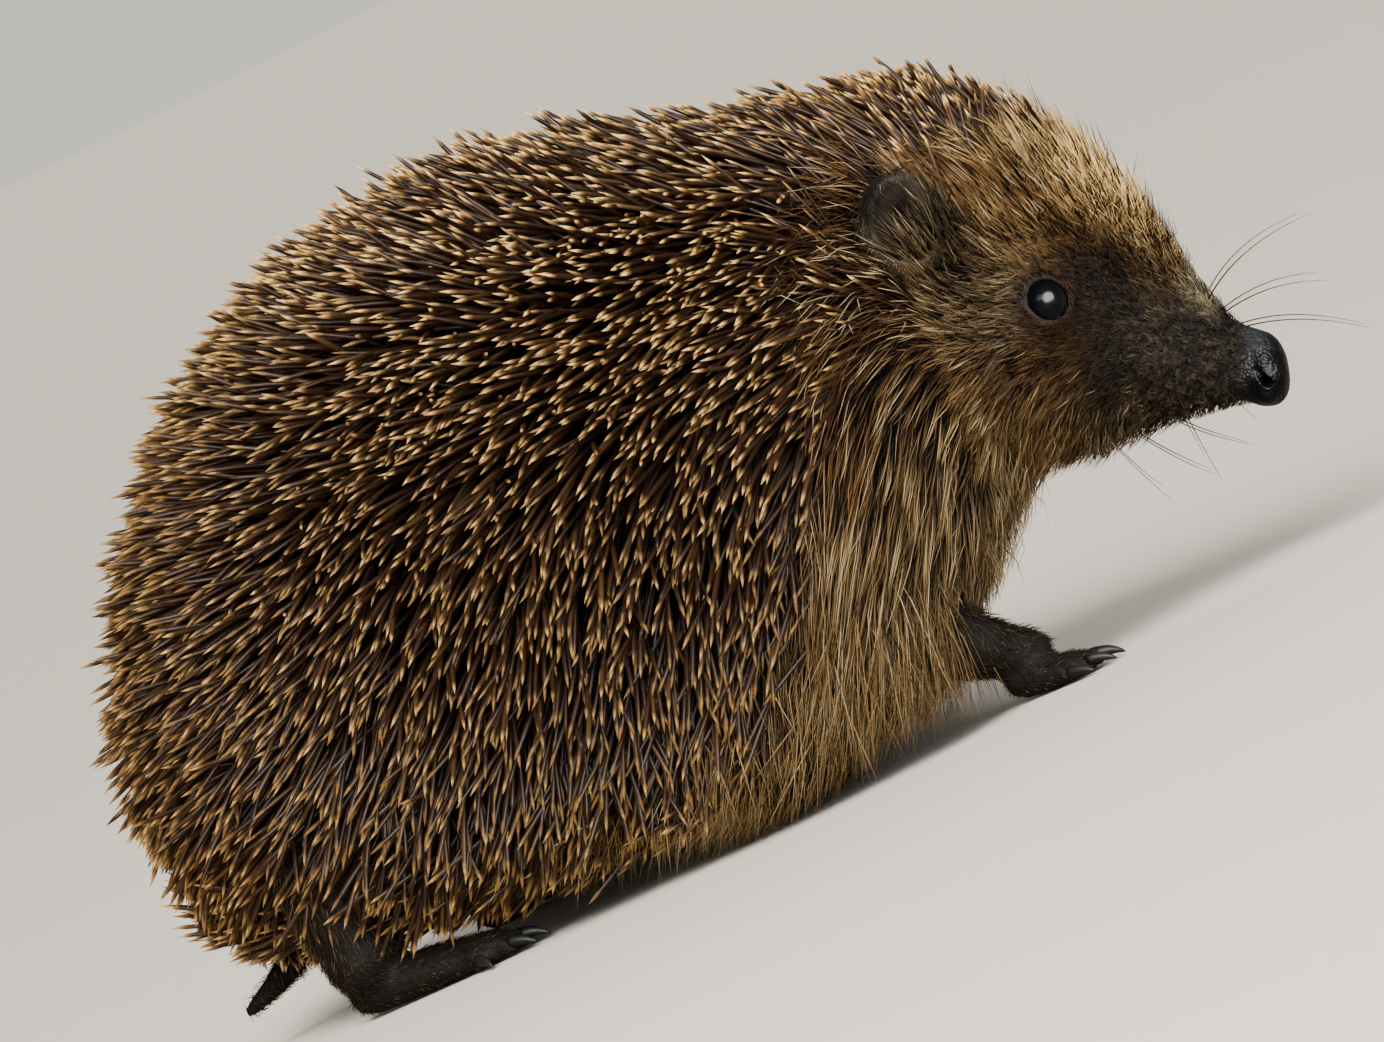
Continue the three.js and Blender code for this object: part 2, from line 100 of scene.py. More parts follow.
# What the coat's pieces grow on, as the middle and the half size of a ball or egg round it.
BODY_EGG = ((0, 0, 55), (98, 50, 55))
HEAD_EGG = ((70, 0, 50), (34, 30, 34))
APRON_EGG = ((20, 0, 40), (60, 50, 50))
BELLY_EGG = ((-20, 0, 10), (70, 40, 16))
LEGS_EGG = ((-10, 0, 8), (60, 40, 16))
EARS_EGG = ((52, 0, 73), (12, 40, 12))
SNOUT_EGG = ((80, 0, 35), (20, 30, 30))
PAW_RADII = (12.0, 10.0, 6.0)  # half size of a paw's

OUTSIDE = {}  # the voxels and the distance to the outside of the coat, once the skin is made

# How the coat lies. Each row is a place on either half, with the distance from the middle plane second, then the way
# that the coat points there as seen from the side, its depth over the skin and the length of its hair.
COAT = (
    ("rump crest", (-8, 0, 116), (-0.56, 0.0, 0.83), 16.0, 12),
    ("upper rump", (-32, 0, 112), (-0.63, 0.0, 0.78), 16.5, 12),
    ("rump corner", (-55, 13, 101), (-0.81, 0.0, 0.59), 17.0, 12),
    ("rump back", (-80, 0, 80), (-0.99, 0.0, 0.10), 17.0, 12),
    ("rump lower back", (-90, 0, 64), (-1.00, 0.0, -0.05), 15.5, 12),
    ("rump low", (-94, 14, 40), (-0.93, 0.0, -0.37), 14.0, 12),
    ("rump foot", (-86, 19, 20), (-0.75, 0.0, -0.66), 10.0, 10),
    ("loin crest", (11, 6, 110), (-0.69, 0.0, 0.72), 11.0, 12),
    ("back crest", (30, 5, 103), (-0.75, 0.0, 0.66), 9.5, 12),
    ("neck crest", (47, 6, 98), (-0.59, 0.0, 0.81), 9.0, 12),
    ("crown back", (61, 0, 95), (-0.36, 0.0, 0.93), 8.5, 14),
    ("crown front", (73, 5, 85), (-0.20, 0.0, 0.98), 7.0, 14),
    ("hip", (-51, 33, 93), (-0.99, 0.0, 0.10), 17.0, 12),
    ("thigh", (-71, 37, 68), (-0.99, 0.0, -0.16), 17.0, 12),
    ("thigh low", (-75, 40, 43), (-0.90, 0.0, -0.44), 14.5, 12),
    ("whorl", (-15, 46, 84), (-0.99, 0.0, 0.10), 16.5, 12),
    ("loin side", (5, 34, 97), (-0.75, 0.0, 0.66), 14.0, 12),
    ("back side", (23, 30, 93), (-0.88, 0.0, 0.47), 13.0, 12),
    ("nape side", (40, 29, 85), (-0.95, 0.0, 0.30), 11.0, 18),
    ("upper flank", (10, 44, 80), (-0.98, 0.0, 0.10), 15.0, 12),
    ("high shoulder", (29, 39, 76), (-0.98, 0.0, -0.20), 12.5, 18),
    ("shoulder", (28, 44, 63), (-0.84, 0.0, -0.54), 11.5, 12),
    ("middle flank", (2, 52, 62), (-0.66, 0.0, -0.76), 16.0, 12),
    ("rear flank", (-34, 53, 57), (-0.72, 0.0, -0.69), 16.5, 12),
    ("flank", (-14, 54, 44), (-0.45, 0.0, -0.89), 16.0, 12),
    ("low shoulder", (13, 51, 50), (-0.45, 0.0, -0.89), 13.5, 14),
    ("low rear flank", (-51, 49, 31), (-0.64, 0.0, -0.77), 14.0, 12),
    ("front flank", (3, 53, 29), (-0.33, 0.0, -0.94), 11.5, 16),
    ("low flank", (-19, 51, 19), (-0.44, 0.0, -0.90), 10.5, 14),
    ("front low flank", (-10, 48, 11), (-0.41, 0.0, -0.91), 7.5, 16),
    ("hind skirt", (-60, 40, 14), (-0.70, 0.0, -0.71), 9.5, 12),
    ("fringe top", (38, 38, 67), (-1.00, 0.0, -0.08), 7.0, 20),
    ("fringe", (32, 44, 49), (-0.56, 0.0, -0.83), 6.5, 22),
    ("upper apron", (39, 40, 48), (-0.52, 0.0, -0.85), 5.5, 20),
    ("apron", (28, 45, 32), (-0.54, 0.0, -0.84), 6.0, 25),
    ("low apron", (14, 45, 13), (-0.48, 0.0, -0.88), 4.5, 25),
    ("rear apron", (-3, 45, 7), (-0.50, 0.0, -0.86), 4.5, 22),
    ("chest side", (37, 32, 22), (-0.47, 0.0, -0.88), 5.0, 22),
    ("chest front", (47, 13, 28), (0.08, 0.0, -1.00), 4.0, 17),
    ("elbow", (27, 38, 13), (-0.50, 0.0, -0.87), 3.0, 15),
    ("neck side", (45, 34, 43), (-0.44, 0.0, -0.90), 5.0, 18),
    ("throat", (54, 14, 35), (-0.25, 0.0, -0.97), 3.0, 12),
    ("below the ear", (45, 35, 57), (-0.98, 0.0, -0.20), 4.5, 14),
    ("ear foot", (54, 28, 66), (0.0, 0.0, 1.00), 4.5, 10),
    ("ear front root", (57, 26, 62), (-0.30, 0.0, 0.95), 5.0, 11),
    ("before the ear", (60, 23, 72), (-0.14, 0.0, 0.99), 3.5, 9),
    ("temple", (67, 17, 73), (-0.16, 0.0, 0.99), 3.5, 11),
    ("crown side", (59, 17, 88), (-0.41, 0.0, 0.91), 6.5, 15),
    ("crown side front", (71, 12, 80), (-0.15, 0.0, 0.98), 5.0, 15),
    ("forehead", (79, 9, 66), (-0.05, 0.0, 1.00), 3.2, 10),
    ("forehead crest", (86, 0, 68), (0.0, 0.0, 1.00), 3.5, 11),
    ("brow crest", (89, 0, 56), (0.10, 0.0, 0.99), 2.8, 8),
    ("brow", (82, 8, 54), (-0.05, 0.0, 1.00), 2.2, 5),
    ("bridge crest", (91, 3, 41), (-0.15, 0.0, 0.99), 1.2, 3.6),
    ("bridge", (86, 7, 38), (-0.41, 0.0, 0.91), 0.9, 1.9),
    ("muzzle", (82, 7, 32), (-0.75, 0.0, 0.66), 0.8, 1.5),
    ("nose root", (87, 5, 28), (-0.90, 0.0, 0.44), 1.3, 1.7),
    ("nose", (94, 0, 28), (-0.90, 0.0, 0.44), 2.2, 1.6),
    ("lip", (72, 8, 32), (-0.99, 0.0, 0.10), 0.9, 2),
    ("chin", (67, 5, 30), (-0.15, 0.0, -0.99), 1.4, 7),
    ("jaw", (58, 12, 36), (-0.80, 0.0, -0.60), 2.2, 9),
    ("cheek", (57, 20, 45), (-0.99, 0.0, 0.10), 3.0, 8),
    ("front cheek", (68, 13, 42), (-0.98, 0.0, -0.10), 2.0, 4),
    ("behind the eye", (60, 22, 58), (-0.98, 0.0, 0.20), 2.6, 5),
    ("above the eye", (71, 15, 59), (-0.33, 0.0, 0.95), 1.6, 4),
    ("before the eye", (76, 11, 48), (-0.56, 0.0, 0.83), 1.2, 2.4),
    ("eye", (68, 14, 52), (-0.70, 0.0, 0.60), 1.0, 2),
    ("breast", (30, 4, 12), (-0.80, 0.0, -0.60), 3.0, 10),
    ("belly", (-5, 8, 7), (-1.00, 0.0, 0.0), 2.5, 9),
    ("rear belly", (-45, 8, 8), (-1.00, 0.0, 0.0), 2.5, 9),
    ("under the tail", (-78, 8, 12), (-0.70, 0.0, -0.70), 4.0, 9),
)

# Lower and front edge of the spines' tips in side view, as x and z, from the rump to the crown.
SPINE_EDGE = ((-100, 4), (-16, 4), (-9, 8), (11, 28), (29, 55), (36, 66), (44, 76), (53, 85), (74, 82), (79, 82))
COAT_SOFTNESS = 7.0  # how softly one row of the coat passes into the next

# The markings in the order they are laid on. Each row is a place on either half, the radius that is wholly covered,
# the soft edge round it, the cover to start with, how much of a pattern is added to it, the pattern, the colour and
# how bright it is made.
CHEST_MARKS = (((49, 16, 30), 8, 14, 0.6, 0, "", "apron", 1.5),)
HEAD_MARKS = (
    ((35, 42, 62), 8, 11, 0.9, 0, "", "fringe", 2.1),
    ((44, 28, 82), 10, 10, 0.4, 1, "mottle", "fringe", 1),
    ((43, 35, 60), 6, 10, 0.6, 0, "", "fringe", 0.4),
    ((43, 32, 74), 6, 7, 0.75, 0, "", "fringe", 0.3),
    ((62, 16, 82), 6, 12, 0, 0.7, "mottle", "fringe", 1),
    ((74, 6, 82), 6, 10, 0.3, 1, "broken", "gold", 1),
    ((87, 2, 66), 4.5, 11, 0.25, 1.7, "broken", "forehead", 1),
    ((90, 2, 55), 3, 8, -0.6, 2, "broken", "forehead", 1),
    ((62, 18, 44), 6, 9, 0, 0.7, "broken", "mask", 1),
    ((77, 12, 50), 5, 8, 0.25, 1.3, "broken", "mask", 1),
    ((77, 6, 35), 9, 7, 0.5, 0.8, "broken", "mask", 1),
    ((60, 20, 57), 5, 6, 0.05, 0.65, "broken", "speck", 0.6),
    ((65, 17, 62), 3, 6, 0, 0.7, "broken", "forehead", 0.5),
    ((92, 2, 34), 9, 7, 1, 0, "", "mask", 1),
    ((83, 5, 36), 9, 6, 0, 0.6, "spots", "speck", 0.33),
    ((92, 3, 44), 2.5, 4.5, -0.78, 2.6, "broken", "speck", 1),
    ((66.6, 14.5, 53.1), 4.2, 1.3, 1, 0, "", "lid", 1),
    ((67.0, 15.3, 53.3), 3.2, 0.6, 1, 0, "", "mask", 0.6),
    ((66, 3, 27), 5, 6, 1, 0, "", "chin", 1),
)
EAR_MARKS = (
    ((57, 27, 65), 5, 7, 0.85, 0, "", "belly", 0.6),
    ((51.2, 31, 76.2), 7.0, 1.4, 1, 0, "", "ear", 1),
    # Painted shade: the inside of each ear's cup is made darker, and its pit near black with the colour of the shade
    # under the coat.
    ((53.4, 33, 75.0), 2.6, 3.2, 0.75, 0, "", "ear", 0.35),
    ((53.6, 29.5, 73.4), 2.6, 3.0, 1, 0, "", "under", 1),
)


# ---------------------------------------------------------------- small tools
def unit(vectors):
    """Each vector at length one."""
    return vectors / np.maximum(np.linalg.norm(vectors, axis=-1, keepdims=True), 1e-9)


def dots(a, b):
    """The dot product of each pair, kept as a column."""
    return (a * b).sum(-1, keepdims=True)


def along_skin(ways, normals):
    """Directions laid flat on the skin."""
    return unit(ways - dots(ways, normals) * normals)


def half_turned(angles):
    """Angles brought to within half a turn of zero."""
    return (angles + math.pi) % (2 * math.pi) - math.pi


def bow(start, knee, end, count):
    """Points along a curve that leaves one place and reaches another, pulled towards a third."""
    share = np.linspace(0, 1, count)[:, None]
    return (1 - share) ** 2 * start + 2 * share * (1 - share) * knee + share**2 * end


def node_points(name):
    """The corners of a solid."""
    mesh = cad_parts[name].data
    corners = np.empty(len(mesh.vertices) * 3, np.float32)
    mesh.vertices.foreach_get("co", corners)
    return corners.reshape(-1, 3) / np.float32(MM)


def node_soup(names):
    """The corners and triangles of several solids together."""
    points, triangles, count = [], [], 0
    for name in names:
        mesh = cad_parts[name].data
        mesh.calc_loop_triangles()
        triangle = np.empty(len(mesh.loop_triangles) * 3, np.int32)
        mesh.loop_triangles.foreach_get("vertices", triangle)
        triangles.append(triangle.reshape(-1, 3) + count)
        points.append(node_points(name))
        count += len(mesh.vertices)
    return np.concatenate(points), np.concatenate(triangles).astype(np.uint32)


def node_middle(name):
    """The middle of a solid's box."""
    low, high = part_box(name)
    return np.array((low + high) / 2) / MM


def ear_cup(side):
    """The middle of an ear's cup."""
    return node_middle(f"ear_{side}") + np.array([-0.9, 0.0, 1.4])


def away(points, place):
    """How far points of either half are from a place on the left half."""
    folded = np.stack([points[:, 0], np.abs(points[:, 1]), points[:, 2]], 1)
    return np.linalg.norm(folded - place, axis=1)


def nearness(points, place, reach):
    """One at a place on the left half or its mirror image, falling to nothing `reach` away."""
    return np.clip(1 - away(points, place) / reach, 0, 1)


def coat_at(points):
    """The lie (way, depth and hair length) of the coat at points."""
    places = np.array([row[1] for row in COAT], np.float32)
    values = np.array([(*row[2], row[3], row[4]) for row in COAT], np.float32)
    mirrored = np.abs(points[:, 1])
    weights = COAT_SOFTNESS**2 + (points[:, 0, None] - places[:, 0]) ** 2
    weights += (mirrored[:, None] - places[:, 1]) ** 2 + (points[:, 2, None] - places[:, 2]) ** 2
    weights = weights**-2.5
    result = weights @ values / weights.sum(1, keepdims=True)
    return result[:, :3], result[:, 3], result[:, 4]


def spiny(points, rng=None, ragged=0.0):
    """How far points lie inside the spines' part of the body; negative is outside."""
    edge = np.array(SPINE_EDGE, float)
    height = points[:, 2] - np.interp(points[:, 0], edge[:, 0], edge[:, 1])
    reach = np.minimum(height, (edge[-1, 0] - points[:, 0]) * 1.2)
    if rng is not None:
        reach = reach + rng.normal(0, ragged, len(points))
    return reach


def past_coat(points):
    """How far points lie outside the coat; negative is inside."""
    return OUTSIDE["block"].sample(OUTSIDE["coat"], points)


# ---------------------------------------------------------------- forms in voxels
class Block:
    """A box of voxels that holds the distance to a form, negative inside."""

    def __init__(self, low, high, voxel):
        self.voxel = voxel
        self.first = np.floor(np.array(low) / voxel).astype(int)
        self.shape = tuple(np.ceil(np.array(high) / voxel).astype(int) - self.first + 1)
        self.transform = vdb.createLinearTransform(voxelSize=voxel)
        axes = [((self.first[i] + np.arange(self.shape[i])) * voxel).astype(np.float32) for i in range(3)]
        self.x, self.y, self.z = axes[0][:, None, None], axes[1][None, :, None], axes[2][None, None, :]

    def distance(self, points, triangles, inside, outside):
        """The distance to a closed mesh, right to within the two depths."""
        grid = vdb.FloatGrid.createLevelSetFromPolygons(
            points.astype(np.float32),
            triangles=triangles,
            transform=self.transform,
            exBandWidth=outside / self.voxel,
            inBandWidth=inside / self.voxel,
        )
        field = np.empty(self.shape, np.float32)
        grid.copyToArray(field, ijk=tuple(int(i) for i in self.first))
        return field

    def surface(self, field, level=0.0):
        """The mesh of a field at a level, as corners and faces of three or four corners."""
        grid = vdb.FloatGrid(float(field.max()) + 1.0)
        grid.transform = self.transform
        grid.copyFromArray(np.ascontiguousarray(field), ijk=tuple(int(i) for i in self.first))
        points, triangles, quads = grid.convertToPolygons(isovalue=level)
        return points, triangles.reshape(-1, 3), quads

    def closed(self, names, inside, outside, swell=0.4):
        """The distance to several solids as one, with the gaps between them filled."""
        points, triangles = node_soup(names)
        swollen = self.distance(points, triangles, 2, 2)
        points, triangles, quads = self.surface(swollen, swell)
        triangles = np.concatenate([quads[:, [0, 1, 2]], quads[:, [0, 2, 3]], triangles])
        return self.distance(points, triangles.astype(np.uint32), inside, outside) + swell

    def holds(self, points):
        """Whether points lie well inside the box."""
        place = points / self.voxel - self.first
        return ((place > 1) & (place < np.array(self.shape) - 2)).all(1)

    def sample(self, field, points):
        """The field at points, read between voxels."""
        place = points / self.voxel - self.first
        place = np.clip(place, 0, np.array(self.shape) - 1.001)
        whole = place.astype(int)
        part = (place - whole).astype(np.float32)
        total = np.zeros(len(points), np.float32)
        for corner in range(8):
            step = np.array([corner & 1, corner >> 1 & 1, corner >> 2 & 1])
            share = np.prod(np.where(step, part, 1 - part), axis=1)
            i, j, k = (whole + step).T
            total += share * field[i, j, k]
        return total

    def ball(self, middle, radii, lean=0.0):
        """The distance to a ball or, roughly, to an ellipsoid that leans forward by an angle."""
        rx, ry, rz = np.broadcast_to(np.array(radii, np.float32), 3)
        x, y, z = self.x - middle[0], (self.y - middle[1]) / ry, self.z - middle[2]
        ahead, height = x * math.cos(lean) - z * math.sin(lean), x * math.sin(lean) + z * math.cos(lean)
        x, z = ahead / rx, height / rz
        return (np.sqrt(x * x + y * y + z * z) - 1) * min(rx, ry, rz)

    def rod(self, start, end, radius, end_radius=None):
        """The distance to a round-ended rod, which may taper."""
        start, end = np.array(start, np.float32), np.array(end, np.float32)
        along = end - start
        x, y, z = self.x - start[0], self.y - start[1], self.z - start[2]
        share = np.clip((x * along[0] + y * along[1] + z * along[2]) / (along @ along), 0, 1)
        x, y, z = x - share * along[0], y - share * along[1], z - share * along[2]
        return np.sqrt(x * x + y * y + z * z) - (radius + share * ((end_radius or radius) - radius))


def joined(a, b, softness):
    """Two forms as one, with a fillet of a given size where they meet."""
    share = np.clip(0.5 + 0.5 * (b - a) / softness, 0, 1)
    return b + (a - b) * share - softness * share * (1 - share)


def cut(a, b, softness):
    """The first form less the second."""
    return -joined(-a, b, softness)


def blurred(field, steps):
    """A field smoothed over a number of voxels."""
    taps = np.exp(-0.5 * (np.arange(-2 * steps, 2 * steps + 1) / steps) ** 2).astype(np.float32)
    taps /= taps.sum()
    for axis in range(3):
        padding = [(0, 0)] * 3
        padding[axis] = (2 * steps, 2 * steps)
        padded = np.moveaxis(np.pad(field, padding, mode="edge"), axis, 0)
        count = field.shape[axis]
        field = np.moveaxis(sum(tap * padded[i : i + count] for i, tap in enumerate(taps)), 0, axis)
    return field


def spread(values, shape, step):
    """Values known at every few voxels, read between them over a whole block."""
    for axis in range(3):
        place = np.arange(shape[axis]) / step
        whole = np.minimum(place.astype(int), values.shape[axis] - 2)
        part = (place - whole).astype(np.float32).reshape([-1 if i == axis else 1 for i in range(3)])
        values = np.take(values, whole, axis) * (1 - part) + np.take(values, whole + 1, axis) * part
    return values


# ---------------------------------------------------------------- meshes
def facing_out(points, faces):
    """The faces of a closed mesh, turned to face outwards. The first face array has to be of quads."""
    a, b, c = (points[faces[0][:, i]] for i in (0, 1, 2))
    return faces if (a * np.cross(b, c)).sum() > 0 else [f[:, ::-1] for f in faces]


def new_piece(name, points, faces, material, nodes=()):
    """A piece of the model, from corners in millimetres and a list of face arrays."""
    faces = [np.asarray(f) for f in faces if len(f)]
    sizes = np.concatenate([np.full(len(f), f.shape[1]) for f in faces])
    corners = np.concatenate([f.ravel() for f in faces]).astype(np.int32)
    mesh = bpy.data.meshes.new(name)
    mesh.vertices.add(len(points))
    mesh.vertices.foreach_set("co", (np.asarray(points, np.float32) * MM).ravel())
    mesh.loops.add(len(corners))
    mesh.loops.foreach_set("vertex_index", corners)
    mesh.polygons.add(len(sizes))
    mesh.polygons.foreach_set("loop_start", np.concatenate([[0], np.cumsum(sizes)[:-1]]).astype(np.int32))
    mesh.polygons.foreach_set("use_smooth", np.ones(len(sizes), bool))
    mesh.update()
    mesh.materials.append(material)
    piece = bpy.data.objects.new(name, mesh)
    bpy.context.scene.collection.objects.link(piece)
    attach(piece, "root")
    if nodes:
        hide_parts(*nodes)
    return piece


def give(piece, name, kind, values):
    """Stores one value or vector for each corner of a piece, for its material to read."""
    attribute = piece.data.attributes.new(name, kind, "POINT")
    key = "vector" if kind == "FLOAT_VECTOR" else "value"
    attribute.data.foreach_set(key, np.asarray(values, np.float32).ravel())


def unwrapped(points, middle, half):
    """Where points lie on an unwrap of a rounded form: round its long axis, and along it."""
    x, y, z = ((points - middle) / half).T
    round_it = np.arctan2(y, z) / (2 * math.pi) + 0.5
    along_it = np.arctan2(np.hypot(y, z), x) / math.pi
    both = np.stack([round_it, along_it], 1)
    low, high = both.min(0), both.max(0)
    return (both - low) / np.maximum(high - low, 1e-6) * (1 - TUFT_PATCH)


def rod_faces(rings, sides):
    """The triangles of one rod of several rings that ends in a point."""
    here = np.arange(sides)
    after = (here + 1) % sides
    pattern = []
    for ring in range(rings - 1):
        a, b = ring * sides, (ring + 1) * sides
        pattern += list(zip(a + here, a + after, b + after)) + list(zip(a + here, b + after, b + here))
    last = (rings - 1) * sides
    pattern += list(zip(last + here, last + after, np.full(sides, rings * sides)))
    pattern += [(0, i + 1, i) for i in range(1, sides - 1)]
    return np.array(pattern)


def bristles(name, paths, radii, sides, roots, tone, material, egg=BODY_EGG, nodes=()):
    """
    Tapered rods joined into one piece. `paths` holds each rod's middle line, ending in its point, `radii` its
    thickness before that, and `egg` the middle and half size of what the piece grows on.
    """
    count, rings = paths.shape[0], paths.shape[1] - 1
    steps = unit(np.diff(paths, axis=1))
    ways = unit(np.concatenate([steps[:, :1], steps[:, :-1] + steps[:, 1:]], axis=1))
    up = np.where(np.abs(ways[:, :1, 2:]) > 0.9, [[[1.0, 0, 0]]], [[[0, 0, 1.0]]])
    across = unit(np.cross(ways, up))
    over = np.cross(ways, across)
    angles = 2 * math.pi * np.arange(sides) / sides
    turn = np.cos(angles)[:, None] * across[:, :, None] + np.sin(angles)[:, None] * over[:, :, None]
    hoops = paths[:, :-1, None] + turn * np.asarray(radii)[..., None, None]
    points = np.concatenate([hoops.reshape(count, -1, 3), paths[:, -1:]], axis=1)
    each = rings * sides + 1

    pattern = rod_faces(rings, sides)
    if count * len(pattern) > MOST_TRIANGLES:
        raise RuntimeError(f"{name} would have {count * len(pattern)} triangles, which is too many for one piece")
    faces = (pattern[None] + np.arange(count)[:, None, None] * each).reshape(-1, 3)
    piece = new_piece(name, points.reshape(-1, 3), [faces], material, nodes)

    lengths = np.concatenate([[0], np.cumsum(np.linalg.norm(np.diff(paths, axis=1), axis=2).mean(0))])
    along = np.concatenate([np.repeat(lengths[:-1] / lengths[-1], sides), [1.0]])
    around = np.concatenate([np.tile(1 - np.abs(2 * np.arange(sides) / sides - 1), rings), [0.5]])
    give(piece, "along", "FLOAT", np.tile(along, count))
    give(piece, "tone", "FLOAT", np.repeat(tone, each))
    give(piece, "root", "FLOAT_VECTOR", np.repeat(roots * MM, each, axis=0))

    place = unwrapped(roots, *(np.array(v, float) for v in egg))
    patch = np.stack([around, along], 1) * TUFT_PATCH
    flat = (place[:, None] + patch[None]).reshape(-1, 2)
    layer = piece.data.uv_layers.new(name="OFBake")
    layer.data.foreach_set("uv", flat[faces.ravel()].astype(np.float32).ravel())
    return piece


def bristles_by_side(name, paths, radii, sides, roots, tone, material, egg):
    """Bristles as two pieces, one of the right half and one of the left."""
    for side, sign in SIDES:
        mine = roots[:, 1] * sign > 0
        bristles(f"{name}_{side}", paths[mine], radii[mine], sides, roots[mine], tone[mine], material, egg)


# ---------------------------------------------------------------- the coat's roots and lie
ROOT_TRIES = 6  # for each cell of the skin that may hold a root
SLOPE_STEPS = 5  # in which a hair's slope is fitted to the coat


def cell_keys(places):
    """One number for the cell that each place lies in, of cells one across."""
    cells = np.floor(places).astype(np.int64) + 4096
    return (cells[:, 0] * 8192 + cells[:, 1]) * 8192 + cells[:, 2]


class Skin:
    """The finished skin, as something to grow a coat on."""

    def __init__(self):
        mesh = bpy.data.objects["skin"].data
        mesh.calc_loop_triangles()
        corners = np.empty(len(mesh.vertices) * 3, np.float32)
        normals = np.empty(len(mesh.vertices) * 3, np.float32)
        triangles = np.empty(len(mesh.loop_triangles) * 3, np.int32)
        mesh.vertices.foreach_get("co", corners)
        mesh.vertices.foreach_get("normal", normals)
        mesh.loop_triangles.foreach_get("vertices", triangles)
        self.points, self.normals = corners.reshape(-1, 3) / MM, normals.reshape(-1, 3)
        self.triangles = triangles.reshape(-1, 3)
        self.values = {}
        for name in ("cover", "limb"):
            value = np.empty(len(self.points), np.float32)
            mesh.attributes[name].data.foreach_get("value", value)
            self.values[name] = value
        a, b, c = (self.points[self.triangles[:, i]] for i in range(3))
        self.area = np.linalg.norm(np.cross(b - a, c - a), axis=1) / 2

    def roots(self, rng, spacing, where):
        """Roots about `spacing` apart, on the triangles whose middles pass the test `where`."""
        middles = self.points[self.triangles].mean(1)
        limb = self.values["limb"][self.triangles].mean(1)
        area = self.area * where(middles, limb)
        tries = int(area.sum() / spacing**2 * ROOT_TRIES)
        chosen = rng.choice(len(area), tries, p=area / area.sum())
        weights = rng.dirichlet((1, 1, 1), tries)
        triangles = self.triangles[chosen]
        places = (self.points[triangles] * weights[..., None]).sum(1)
        first = np.unique(cell_keys(places / spacing), return_index=True)[1]
        rng.shuffle(first)
        places, triangles, weights = places[first], triangles[first], weights[first]
        normals = unit((self.normals[triangles] * weights[..., None]).sum(1))
        cover = (self.values["cover"][triangles] * weights).sum(1)
        return places, normals, cover


def turned(ways, normals, angle):
    """Directions along the skin, turned about its normal."""
    angle = angle[:, None]
    return ways * np.cos(angle) + np.cross(normals, ways) * np.sin(angle)


def lie(rng, roots, normals, turn, lengths=None):
    """
    The way the coat points along the skin from each root, turned a little at random (in degrees), the angle of
    that way as seen from the side, and how far the angle changes along hairs of the given lengths.
    """
    ways = coat_at(roots)[0].astype(float)
    ways[:, 1] = 0
    angle = np.radians(rng.normal(0, turn, len(roots)))
    seen = np.arctan2(ways[:, 2], ways[:, 0])
    curl = np.zeros(len(roots))
    if lengths is not None:
        later = coat_at(roots + unit(ways) * lengths[:, None] * 0.8)[0]
        curl = np.clip(half_turned(np.arctan2(later[:, 2], later[:, 0]) - seen), -1.0, 1.0)
    side = np.sign(normals[:, 1])
    ways = turned(along_skin(ways, normals), normals, angle - side * curl / 2)
    return ways, seen + curl / 2 - side * angle, curl


def grown(roots, normals, ways, lengths, rise, stations, droop=0.5, sink=0.6, curl=None):
    """
    The middle lines of hairs: each leaves its root at an angle, bends down by `droop` along its length, turns
    along the skin by `curl` and ends about `rise` above the skin.
    """
    slope = np.arcsin(np.clip(rise / lengths, 0.05, 0.97))[:, None]
    shares = np.array(stations)
    paths = [roots - normals * sink]
    here = roots
    for before, after in zip(shares[:-1], shares[1:]):
        bend = slope * (1 + droop * (1 - (before + after)))
        way = ways
        if curl is not None:
            way = turned(ways, normals, -np.sign(normals[:, 1]) * curl * ((before + after) / 2 - 0.5))
        way = way * np.cos(bend) + normals * np.sin(bend)
        here = here + way * (lengths * (after - before))[:, None]
        paths.append(here)
    return np.stack(paths, 1)


def reaching(roots, normals, ways, lengths, cover, over, stations, droop, seen, curl=None):
    """
    As `grown`, with each hair sloped so that it ends at the outside of the coat, or `over` beyond it, and on
    the flanks turned so that it points as it should as seen from the side.
    """
    rise = cover + over
    flank = np.clip(np.abs(normals[:, 1]) * 1.8 - 0.4, 0, 1) * -np.sign(normals[:, 1])
    against = np.abs(np.cos(seen) * normals[:, 0] + np.sin(seen) * normals[:, 2])
    flank = flank * np.clip(1.5 - 2.4 * against, 0, 1)
    for _ in range(SLOPE_STEPS):
        paths = grown(roots, normals, ways, lengths, rise, stations, droop, curl=curl)
        went = paths[:, -1] - paths[:, 0]
        astray = half_turned(seen - np.arctan2(went[:, 2], went[:, 0]))
        ways = turned(ways, normals, np.clip(astray, -0.5, 0.5) * flank * 0.9)
        too_high = past_coat(paths[:, -1]) - over
        rise = np.clip(rise - too_high, 0.4, lengths * 0.97)
    return paths


def past_ear(roots, normals):
    """The skin's normals, with those near an ear turned sideways, so that the hair flows past it."""
    share = np.clip((17 - away(roots, ear_cup("left"))) / 7, 0, 0.8)[:, None]
    return unit(normals * (1 - share) + share * np.sign(roots) * (0, 1, 0))


def bends(paths):
    """The sharpest bend of each hair, in radians."""
    steps = unit(np.diff(paths, axis=1))
    return np.arccos(np.clip((steps[:, 1:] * steps[:, :-1]).sum(-1), -1, 1)).max(1)


def above_floor(paths, height=0.25):
    """Hairs that would pass through the floor lie along it instead."""
    paths[..., 2] = np.maximum(paths[..., 2], height)
    return paths


def swayed(paths, lengths, amount, rng):
    """Hairs that wander off their line, more towards their tips."""
    share = (np.linspace(0, 1, paths.shape[1]) ** 2)[None, :, None]
    return paths + rng.normal(0, amount, (len(paths), 1, 3)) * share * lengths[:, None, None]


